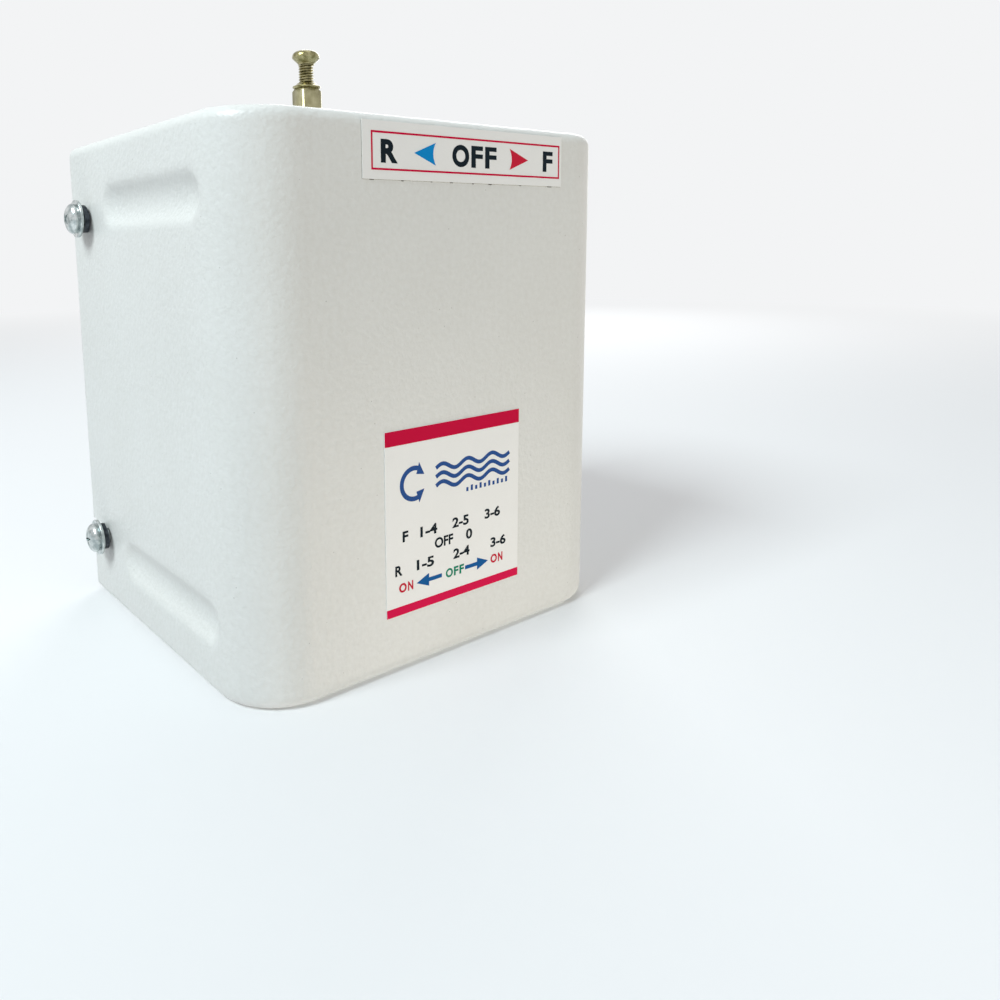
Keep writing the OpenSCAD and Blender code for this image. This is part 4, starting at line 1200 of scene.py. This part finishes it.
@dataclass(frozen=True)
class PanScrew:
    """A pan head screw that points down the Z axis, its seat at z = 0."""

    head: float = 8.0
    height: float = 2.6
    thread: float = 4.0
    length: float = 11.6
    point: float = 0.4
    # The height of the head's rim, and how much narrower the head is at its seat
    side: float = 0.7
    under: float = 0.15
    recess_radius: float = 2.35
    recess_foot: float = 0.35
    recess_waist: float = 0.3
    recess_depth: float = 1.6
    recess_clear: float = 0.02
    slot_width: float = 0.0
    slot_depth: float = 0.9

    def profile(self) -> list[Point]:
        """Gives the screw's outline from the thread's end to the top of its dome.

        Returns:
            Points of radius and height.
        """
        radius = self.thread / 2
        points = [(0, -self.length), (radius - self.point, -self.length), (radius, self.point - self.length)]
        points += [(radius, 0), (self.head / 2 - self.under, 0)]
        for angle in (step / 12 * math.pi / 2 for step in range(13)):
            rise = (self.height - self.side) * math.sin(angle)
            points.append((self.head / 2 * math.cos(angle), self.side + rise))
        return points

    def cross(self) -> Shape:
        """Makes the cutter of the cross recess: four pointed arms that narrow downwards.

        Returns:
            The cutter.
        """
        star = bmesh.new()
        bmesh.ops.create_cone(
            star,
            cap_ends=True,
            segments=8,
            radius1=self.recess_foot * self.recess_radius * MM,
            radius2=self.recess_radius * MM,
            depth=self.recess_depth * MM,
        )
        for vert in star.verts:
            if round(math.atan2(vert.co.y, vert.co.x) / (math.pi / 4)) % 2:
                vert.co.x *= self.recess_waist
                vert.co.y *= self.recess_waist
        return moved(star, at(0, 0, self.height + self.recess_clear - self.recess_depth / 2))

    def shape(self) -> Shape:
        """Makes the screw with its cross recess, and a slot where it has one.

        Returns:
            The screw.
        """
        screw = combined(lathe(self.profile(), steps=64), self.cross(), "DIFFERENCE")
        if self.slot_width:
            slot = block((self.head * 1.2, self.slot_width, 2 * self.slot_depth), (0, 0, self.height))
            screw = combined(screw, slot, "DIFFERENCE")
        return screw


@dataclass(frozen=True)
class CaseScrews:
    """The four screws at the rear of the side walls, and the earth screw in the bottom plate."""

    wall: float = 57.6
    y: float = 36.0
    heights: Pair = (20.0, 109.0)
    left_turns: Pair = (12.0, 38.0)
    right_turns: Pair = (-20.0, 5.0)
    bore: float = 2.06
    flat_radius: float = 5.0
    flat: float = 0.8
    flat_edge: float = 0.22
    spring: float = 2.4
    spring_bore: float = 2.1
    spring_radius: float = 3.7
    spring_wire: float = 1.25
    spring_lift: float = 1.1
    spring_gap: float = 10.0
    earth_place: Place = (-36.8, 37.2, 4.2)
    earth_radius: float = 4.95
    earth_turn: float = 4.0
    earth_length: float = 7.5
    earth_slot: float = 1.1

    def spring_washer(self) -> Shape:
        """Makes one split spring washer on the plane z = 0, its ends a little apart.

        Returns:
            The washer.
        """
        inner, outer, thick = self.spring_bore, self.spring_radius, self.spring_wire
        section = outline(((inner, 0), (outer, 0), (outer, thick), (inner, thick)), closed=True)
        return coiled(section, 1 - self.spring_gap / 360, self.spring_lift, 40)

    def washer(self, outer: float) -> Shape:
        """Makes a flat washer on the plane z = 0 with its stamped edges eased."""
        profile = ((self.bore, 0), (outer, 0), (outer, self.flat), (self.bore, self.flat))
        return lathe(profile, self.flat_edge, 56, ring=True)

    def build(self) -> None:
        """Builds the side screws with their washers, and the earth screw."""
        screws, flats, springs = [], [], []
        for side, turns in ((-1, self.left_turns), (1, self.right_turns)):
            for z, turn in zip(self.heights, turns):
                place = at(side * self.wall, self.y, z) @ turned_about(Axis.Y, 90 * side)
                springs.append(moved(self.spring_washer(), turned_about(Axis.Z, 3 * turn), place))
                flats.append(moved(self.washer(self.flat_radius), at(0, 0, self.spring), place))
                seat = at(0, 0, self.spring + self.flat)
                screws.append(moved(PanScrew().shape(), turned_about(Axis.Z, turn), seat, place))
        new_piece("side_screws", joined(screws), "cover_screws")
        new_piece("side_flat_washers", joined(flats), "cover_washers")
        new_piece("side_spring_washers", joined(springs), "cover_spring_washers")
        earth = at(*self.earth_place) @ turned_about(Axis.X, 180)
        screw = PanScrew(length=self.earth_length, slot_width=self.earth_slot).shape()
        moved(screw, turned_about(Axis.Z, self.earth_turn), earth)
        new_piece("earth_pan_screw", screw, "earth_screw")
        washer = moved(self.washer(self.earth_radius), at(0, 0, -self.flat), earth)
        new_piece("earth_flat_washer", washer, "earth_washer")


@dataclass(frozen=True)
class HandleScrew:
    """The slotted screw and bevelled washer on the shaft's square end, with the free thread between them."""

    y: float = 14.496
    seat: float = 145.0
    neck: float = 151.5
    top: float = 155.3
    foot: float = 132.0
    core: float = 1.58
    crest: float = 2.15
    pitch: float = 0.72
    # The ridge's half width at its root as a share of the pitch, and at its crest as a share of that
    root_share: float = 0.47
    crest_share: float = 0.2
    root_depth: float = 0.1
    thread_lap: float = 0.3
    head_radius: float = 3.9
    head_side: float = 3.55
    head_drop: float = 0.35
    # How full the head's side is across and upwards, where 1 is a quarter of an ellipse
    fullness: Pair = (0.55, 0.8)
    collar: float = 2.3
    collar_height: float = 0.45
    collar_flare: float = 0.15
    shoulder: float = 153.3
    slot: Trio = (10.0, 1.0, 2.8)
    slot_turn: float = -30.0
    # The washer's corners: each one's radius and its height above the seat
    washer_corners: tuple[Point, ...] = (
        (2.2, 0.0), (3.6, 0.0), (4.0, 0.25), (4.0, 0.55), (3.1, 0.95), (2.6, 1.5), (2.2, 1.5),
    )

    def thread(self) -> Shape:
        """Makes the thread's ridge as one long helix round the core.

        Returns:
            The ridge.
        """
        turns = (self.neck + self.thread_lap - self.seat) / self.pitch
        half, root, tip = self.pitch * self.root_share, self.core - self.root_depth, self.crest
        narrow = half * self.crest_share
        ridge = ((root, -half), (tip, -narrow), (tip, narrow), (root, half))
        section = outline([(r, self.seat + z) for r, z in ridge], closed=True)
        return coiled(section, turns, self.pitch * turns, round(turns * 28))

    def screw(self) -> Shape:
        """Turns the screw's core, its collar and its flat-topped head, and cuts the slot.

        Returns:
            The screw.
        """
        collar_top = self.neck + self.collar_height
        points = [(0, self.foot), (self.core, self.foot), (self.core, self.neck), (self.collar, self.neck)]
        points += [(self.collar, collar_top), (self.collar + self.collar_flare, collar_top)]
        points.append((self.head_side, self.shoulder - self.head_drop))
        for angle in (math.radians(7.5 * step) for step in range(13)):
            reach, rise = math.cos(angle) ** self.fullness[0], math.sin(angle) ** self.fullness[1]
            points.append((self.head_radius * reach, self.shoulder + (self.top - self.shoulder) * rise))
        slot = moved(block(self.slot, (0, 0, self.top)), turned_about(Axis.Z, self.slot_turn))
        return combined(lathe(points, steps=64), slot, "DIFFERENCE")

    def washer(self) -> Shape:
        """Turns the washer, which slopes up to its bore."""
        return lathe([(r, self.seat + z) for r, z in self.washer_corners], 0.08, 56, ring=True)

    def build(self) -> None:
        """Builds the screw and its washer."""
        place = at(0, self.y, 0)
        new_piece("handle_slotted_screw", moved(joined([self.screw(), self.thread()]), place), "handle_screw")
        new_piece("handle_bevelled_washer", moved(self.washer(), place), "handle_washer")


@dataclass(frozen=True)
class Grommets:
    """The two blind, stepped rubber grommets in the cable entries."""

    x: float = 26.404
    y: float = 1.296
    plate: float = 5.0
    flange: float = 14.5
    flange_height: float = 1.5
    steps: Trio = (11.455, 8.845, 6.38)
    step_height: float = 1.0
    dish: float = 4.35
    dish_depth: float = 0.6
    neck: float = 12.45
    lip: float = 14.0
    lip_height: float = 1.5
    inside: float = 6.5
    wall: float = 1.4
    rounding: float = 0.34
    nub_size: Trio = (0.9, 1.7, 0.8)
    nub_edge: float = 0.25
    nub_reach: float = 0.15
    nub_drop: float = 0.75
    left_nubs: Pair = (-56.0, 171.0)
    right_nubs: Pair = (-90.0, 126.0)

    def profile(self) -> list[Point]:
        """Gives the grommet's outline from the middle of its outer face round to the inside.

        Returns:
            Points of radius and height.
        """
        low = self.plate - self.flange_height
        z = low - len(self.steps) * self.step_height
        points = [(0, z + self.dish_depth), (self.dish, z + self.dish_depth), (self.dish, z)]
        for radius in reversed(self.steps):
            points += [(radius, z), (radius, z + self.step_height)]
            z += self.step_height
        bore, top = self.steps[0] - self.wall, self.inside + self.lip_height
        points += [(self.flange, low), (self.flange, self.plate), (self.neck, self.plate)]
        points += [(self.neck, self.inside), (self.lip, self.inside), (self.lip, top), (bore, top)]
        return points + [(bore, low + self.wall), (0, low + self.wall)]

    def nub(self, degrees: float) -> Shape:
        """Makes the small tear of flash that is left on the flange's rim at an angle."""
        place = (self.flange + self.nub_reach, 0, self.plate - self.nub_drop)
        return moved(block(self.nub_size, place, self.nub_edge), turned_about(Axis.Z, degrees))

    def build(self) -> None:
        """Builds both grommets."""
        for name, side, nubs in (("left", -1, self.left_nubs), ("right", 1, self.right_nubs)):
            rubber = joined([lathe(self.profile(), self.rounding, 72), *map(self.nub, nubs)])
            moved(rubber, at(side * self.x, self.y, 0))
            new_piece(f"{name}_entry_grommet", rubber, f"grommet_{name}", crease=50.0)


@dataclass(frozen=True)
class InkRing:
    """The small ring drawn in pen ink on the end plate, in two strokes."""

    x: float = -47.0
    y: float = -30.0
    face: float = 5.0
    ink: float = 0.03
    radius: float = 1.15
    line: float = 0.3
    # Where each stroke starts and how far it sweeps, in degrees
    strokes: tuple[Pair, ...] = ((20.0, 130.0), (185.0, 135.0))

    def build(self) -> None:
        """Draws both strokes a hair proud of the plate."""
        strokes = []
        for start, sweep in self.strokes:
            stroke = outline(((self.radius - self.line / 2, 0), (self.radius + self.line / 2, 0)))
            swept(moved(stroke, turned_about(Axis.Z, start)), 10, sweep)
            strokes.append(stroke)
        ring = moved(thickened(joined(strokes), (0, 0, -self.ink)), at(self.x, self.y, self.face))
        new_piece("inspection_ink_ring", ring, "back_frame", PEN_INK)


@dataclass(frozen=True)
class WeldBeads:
    """The painted weld beads over the straps' tabs: lumpy lenses, with no two alike."""

    voxel: float = 0.28
    relaxing: float = 0.6
    relaxings: int = 5
    lump: float = 2.2
    fine_lump: float = 0.45
    proud: float = 0.45
    swell: float = 0.22
    taper: float = 0.2

    def build(self) -> None:
        """Melts the CAD node's balls into beads."""
        carrier = carrier_of(merged_copy("weld_beads"), "beads")
        melt = carrier.modifiers.new("melt", "REMESH")
        melt.mode, melt.voxel_size = "VOXEL", self.voxel * MM
        relax = carrier.modifiers.new("relax", "SMOOTH")
        relax.factor, relax.iterations = self.relaxing, self.relaxings
        beads = evaluated(carrier)
        beads.normal_update()
        self.point(beads)
        for vert in beads.verts:
            broad = noise.noise(vert.co / (self.lump * MM))
            fine = noise.noise(vert.co / (self.fine_lump * self.lump * MM))
            vert.co += vert.normal * (self.swell * (self.proud + (broad + 0.5 * fine))) * MM
        new_piece("painted_weld_beads", beads, "weld_beads", crease=60.0)

    def point(self, beads: Shape) -> None:
        """Narrows each bead towards its two ends.

        Args:
            beads: all the beads, which are changed.
        """
        for side in (-1, 1):
            bead = [vert for vert in beads.verts if vert.co.x * side > 0]
            xs, ys = [vert.co.x for vert in bead], [vert.co.y for vert in bead]
            middle, half = (max(xs) + min(xs)) / 2, (max(xs) - min(xs)) / 2
            spine = (max(ys) + min(ys)) / 2
            for vert in bead:
                share = 1 - self.taper * ((vert.co.x - middle) / half) ** 2
                vert.co.y = spine + (vert.co.y - spine) * share


@dataclass(frozen=True)
class FingerSpring:
    """A finger's coil spring, between the finger and its bracket."""

    number: int
    near: float = 28.203
    far: float = 37.0
    y: float = 3.996
    rows: Trio = (86.992, 60.997, 35.001)
    coil: float = 3.0
    wire: float = 0.5
    turns: float = 6.25
    travel_share: float = 0.842

    def build(self) -> None:
        """Winds the spring."""
        side = -1 if self.number <= len(self.rows) else 1
        z = self.rows[(self.number - 1) % len(self.rows)]
        shape = bmesh.new()
        section = at(self.coil, 0, 0) @ turned_about(Axis.X, 90)
        bmesh.ops.create_circle(shape, segments=8, radius=self.wire * MM, matrix=section)
        coiled(shape, self.turns, self.far - self.near - 2 * self.wire, round(self.turns * 20))
        moved(shape, at(side * (self.near + self.wire), self.y, z) @ turned_about(Axis.Y, 90 * side))
        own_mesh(new_piece(f"contact_coil_spring_{self.number}", shape, f"finger_spring_{self.number}"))


class Process(Enum):
    """How a piece is made, which is the ending of its name."""

    PRESSED = "pressed"
    MOULDED = "moulded"
    TURNED = "turned"
    BENT = "bent"


@dataclass(frozen=True)
class MadePiece:
    """A piece that keeps its CAD shape, with its doubled corners merged and its edges eased."""

    node: str
    process: Process
    edge: float
    sharp: float = 32.0

    def shape(self) -> Shape:
        """Copies the CAD node's mesh and eases its sharp edges.

        Returns:
            The eased shape.
        """
        shape = merged_copy(self.node)
        bmesh.ops.dissolve_limit(shape, angle_limit=math.radians(0.5), verts=shape.verts, edges=shape.edges)
        sharp = math.radians(self.sharp)
        edges = [e for e in shape.edges if len(e.link_faces) == 2 and e.calc_face_angle(0.0) > sharp]
        return eased(shape, edges, self.edge)

    def build(self) -> None:
        """Builds the piece in place of its node."""
        new_piece(f"{self.node}_{self.process.value}", self.shape(), self.node)


@dataclass(frozen=True)
class Shaft(MadePiece):
    """The shaft: its square's long edges are broken, and its end is chamfered on the lathe."""

    y: float = 14.496
    square_low: float = 127.5
    square_top: float = 145.0
    across_edges: float = 4.14
    strip: Pair = (6.0, 3.0)
    chamfer: float = 2.0
    chamfer_radius: float = 3.3
    chamfer_lift: float = 0.05

    def shape(self) -> Shape:
        """Takes the square's edges off the eased CAD shape.

        Returns:
            The shaft.
        """
        wide, thick = self.strip
        length = self.square_top + 1 - self.square_low
        centre = (0, self.across_edges + thick / 2, self.square_low + length / 2)
        quarters = (turned_about(Axis.Z, 45 + 90 * quarter) for quarter in range(4))
        strips = [moved(block((wide, thick, length), centre), quarter) for quarter in quarters]
        r0, r1 = self.chamfer_radius, self.chamfer_radius + self.chamfer
        z1 = self.square_top + self.chamfer_lift
        chamfer = lathe(((r0, z1), (r1, z1), (r1, z1 - self.chamfer)), ring=True)
        shape = super().shape()
        for tool in (joined(strips), chamfer):
            shape = combined(shape, moved(tool, at(0, self.y, 0)), "DIFFERENCE")
        return shape


# The pieces that keep their CAD shapes: how each is made, and how wide its eased edges are in millimetres
WORKS: tuple[MadePiece, ...] = (
    *(
        MadePiece(f"{side}_{node}", process, edge)
        for side in ("left", "right")
        for node, process, edge in (
            ("strap", Process.PRESSED, 0.25), ("board", Process.MOULDED, 0.4), ("brackets", Process.BENT, 0.2)
        )
    ),
    MadePiece("board_screws", Process.TURNED, 0.2),
    MadePiece("terminal_screws", Process.TURNED, 0.25),
    MadePiece("terminal_washers", Process.PRESSED, 0.15),
    MadePiece("finger_pins", Process.TURNED, 0.2),
    MadePiece("detent_posts", Process.PRESSED, 0.3),
    MadePiece("detent_screws", Process.TURNED, 0.2),
    MadePiece("stop_pins", Process.TURNED, 0.3),
    MadePiece("earth_nut", Process.TURNED, 0.3),
    MadePiece("cover_nuts", Process.PRESSED, 0.35),
    MadePiece("top_bush", Process.PRESSED, 0.2),
    MadePiece("bottom_bush", Process.PRESSED, 0.15),
    Shaft("shaft", Process.TURNED, 0.2),
    MadePiece("drum_barrel", Process.MOULDED, 0.5),
    MadePiece("forward_shoes", Process.PRESSED, 0.25),
    MadePiece("reverse_shoes", Process.PRESSED, 0.25),
    *(MadePiece(node, Process.PRESSED, 0.12) for node in ("forward_links", "reverse_link", "crossover_links")),
    MadePiece("shoe_screws", Process.TURNED, 0.12),
    MadePiece("star_wheel", Process.PRESSED, 0.3),
    MadePiece("stop_arm", Process.PRESSED, 0.25),
    MadePiece("retaining_ring", Process.PRESSED, 0.1),
    *(MadePiece(f"contact_finger_{number}", Process.PRESSED, 0.3) for number in FINGERS),
)


@dataclass(frozen=True)
class Lamp:
    """A square lamp that points at the case. Its place and side are in metres, its power in watts."""

    name: str
    place: Place
    size: float
    power: float
    colour: str = "#ffffff"
    target: Place = (0.0, 0.0, 0.065)

    def build(self) -> None:
        """Hangs the lamp, unseen by the camera."""
        light = bpy.data.lights.new(self.name, "AREA")
        light.shape, light.size, light.energy = "SQUARE", self.size, self.power
        light.color = linear(self.colour)[:3]
        holder = placed(self.name, light)
        holder.location, holder.visible_camera = self.place, False
        aim = Vector(self.target) - Vector(self.place)
        holder.rotation_euler = aim.to_track_quat("-Z", "Y").to_euler()


@dataclass(frozen=True)
class Studio:
    """A pale floor that fades into a pale world, with soft lamps."""

    floor_colour: str = "#e8e9ea"
    bounce_colour: str = "#84868a"
    world_colour: str = "#f3f4f5"
    world_light: float = 0.46
    reach: float = 4.0
    fade_from: float = 0.35
    fade_to: float = 1.3
    grain_mm: float = 2.5
    lamps: tuple[Lamp, ...] = (
        Lamp("key_lamp", (-0.8, -0.1, 0.9), 0.45, 11.5, "#f0fbff"),
        Lamp("top_lamp", (0.1, 0.1, 1.2), 0.5, 0.6),
        Lamp("front_lamp", (0.25, -0.4, -0.17), 0.26, 1.22, "#fff3e0"),
        Lamp("rear_lamp", (0.8, 0.7, 0.5), 0.7, 5.0),
        Lamp("low_lamp", (-0.1, -0.25, -0.8), 0.6, 4.8),
    )

    def seen(self, tree: Tree) -> bpy.types.Node:
        """Gives 1 where the camera, a mirror or glass looks, and 0 for the light itself.

        Args:
            tree: the node tree to add to.

        Returns:
            The node that gives it.
        """
        path = add_node(tree, "LightPath").outputs
        mirrored = {0: path["Is Camera Ray"], 1: path["Is Glossy Ray"]}
        either = add_node(tree, "Math", mirrored, operation="MAXIMUM")
        return add_node(tree, "Math", {0: either, 1: path["Is Transmission Ray"]}, operation="MAXIMUM")

    def floor_material(self) -> bpy.types.Material:
        """Makes the floor's paper, which fades into the world and is clear from below.

        Returns:
            The material.
        """
        material = bpy.data.materials.new("matt_studio_floor")
        tree = bare_tree(material)
        place = add_node(tree, "TexCoord").outputs["Object"]
        grain = add_node(tree, "TexNoise", {"Vector": place, "Scale": per_mm(self.grain_mm), "Detail": 3.0})
        bump = add_node(tree, "Bump", {"Height": grain, "Distance": 0.1 * MM, "Strength": 0.2})
        tones = {0: self.seen(tree), 6: linear(self.bounce_colour), 7: linear(self.floor_colour)}
        tone = add_node(tree, "Mix", tones, data_type="RGBA")
        paper = add_node(tree, "BsdfPrincipled", {"Base Color": tone, "Roughness": 0.85, "Normal": bump})
        haze = add_node(tree, "Emission", {"Color": linear(self.world_colour), "Strength": 1.0})
        distance = add_node(tree, "VectorMath", {0: place}, operation="LENGTH")
        fading = {"Value": distance, "From Min": self.fade_from, "From Max": self.fade_to}
        fade = add_node(tree, "MapRange", fading, interpolation_type="SMOOTHSTEP")
        share = add_node(tree, "Math", {0: fade, 1: self.seen(tree)}, operation="MULTIPLY")
        above = add_node(tree, "MixShader", {0: share, 1: paper, 2: haze})
        below = add_node(tree, "NewGeometry").outputs["Backfacing"]
        shadow = add_node(tree, "LightPath").outputs["Is Shadow Ray"]
        clear = add_node(tree, "Math", {0: below, 1: shadow}, operation="MAXIMUM")
        mixed = add_node(tree, "MixShader", {0: clear, 1: above, 2: add_node(tree, "BsdfTransparent")})
        add_node(tree, "OutputMaterial", {"Surface": mixed})
        return material

    def floor(self) -> None:
        """Lays the floor, which keeps the object's shadow."""
        shape = bmesh.new()
        bmesh.ops.create_circle(shape, cap_ends=True, segments=64, radius=self.reach)
        ground = carrier_of(shape, "studio_floor")
        ground.data.materials.append(self.floor_material())
        ground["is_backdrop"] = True

    def world(self) -> None:
        """Makes the world pale to the eye and softer as a light."""
        world = bpy.data.worlds.new("pale_studio")
        bpy.context.scene.world = world
        tree = bare_tree(world)
        strength = add_node(tree, "MapRange", {"Value": self.seen(tree), "To Min": self.world_light})
        sky = add_node(tree, "Background", {"Color": linear(self.world_colour), "Strength": strength})
        add_node(tree, "OutputWorld", {"Surface": sky})

    def build(self) -> None:
        """Sets up the floor, the world and the lamps."""
        self.floor()
        self.world()
        for lamp in self.lamps:
            lamp.build()
        bpy.context.scene.view_settings.view_transform = "Standard"


@dataclass(frozen=True)
class Viewpoint:
    """The photographer's place, from the fit of the case's outline in the photograph."""

    place: Place = (-134.115, -195.847, 100.988)
    pitch: float = -0.15026
    yaw: float = 0.64478
    roll: float = -0.01525
    focal: float = 841.35
    centre: Point = (378.6, 371.9)
    frame: float = 1000.0
    sensor: float = 36.0

    def build(self) -> None:
        """Sets up the camera with the lens and the shift that frame the photograph."""
        lens = bpy.data.cameras.new("photographer")
        lens.sensor_width = self.sensor
        lens.lens = self.focal / self.frame * self.sensor
        lens.shift_x = 0.5 - self.centre[0] / self.frame
        lens.shift_y = self.centre[1] / self.frame - 0.5
        lens.clip_start, lens.clip_end = 0.01, 20.0
        level = math.cos(self.pitch)
        ahead = Vector((math.sin(self.yaw) * level, math.cos(self.yaw) * level, math.sin(self.pitch)))
        right = Vector((math.cos(self.yaw), -math.sin(self.yaw), 0))
        up = right.cross(ahead)
        across = right * math.cos(self.roll) + up * math.sin(self.roll)
        upwards = up * math.cos(self.roll) - right * math.sin(self.roll)
        camera = placed("photographer", lens)
        camera.matrix_world = at(*self.place) @ Matrix((across, upwards, -ahead)).transposed().to_4x4()
        bpy.context.scene.camera = camera


def corners() -> list[list[float]]:
    """Gives the shown object's lowest and highest corner as plain lists."""
    return [list(corner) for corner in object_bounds()]


def main() -> None:
    """Sets up the camera and the studio and builds the switch's pieces in order."""
    logging.basicConfig(level=logging.INFO, format="%(name)s: %(message)s")
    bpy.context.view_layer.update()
    for assembly in (Viewpoint(), Studio(), Wrapper(), PositionLabel(), LowerLabel()):
        assembly.build()
    for node in ("back_frame", "detent_spring"):
        dress(node)
    for assembly in (WeldBeads(), CaseScrews(), Grommets(), InkRing(), HandleScrew(), *WORKS):
        assembly.build()
    for number in FINGERS:
        FingerSpring(number).build()


if __name__ == "__main__":
    main()
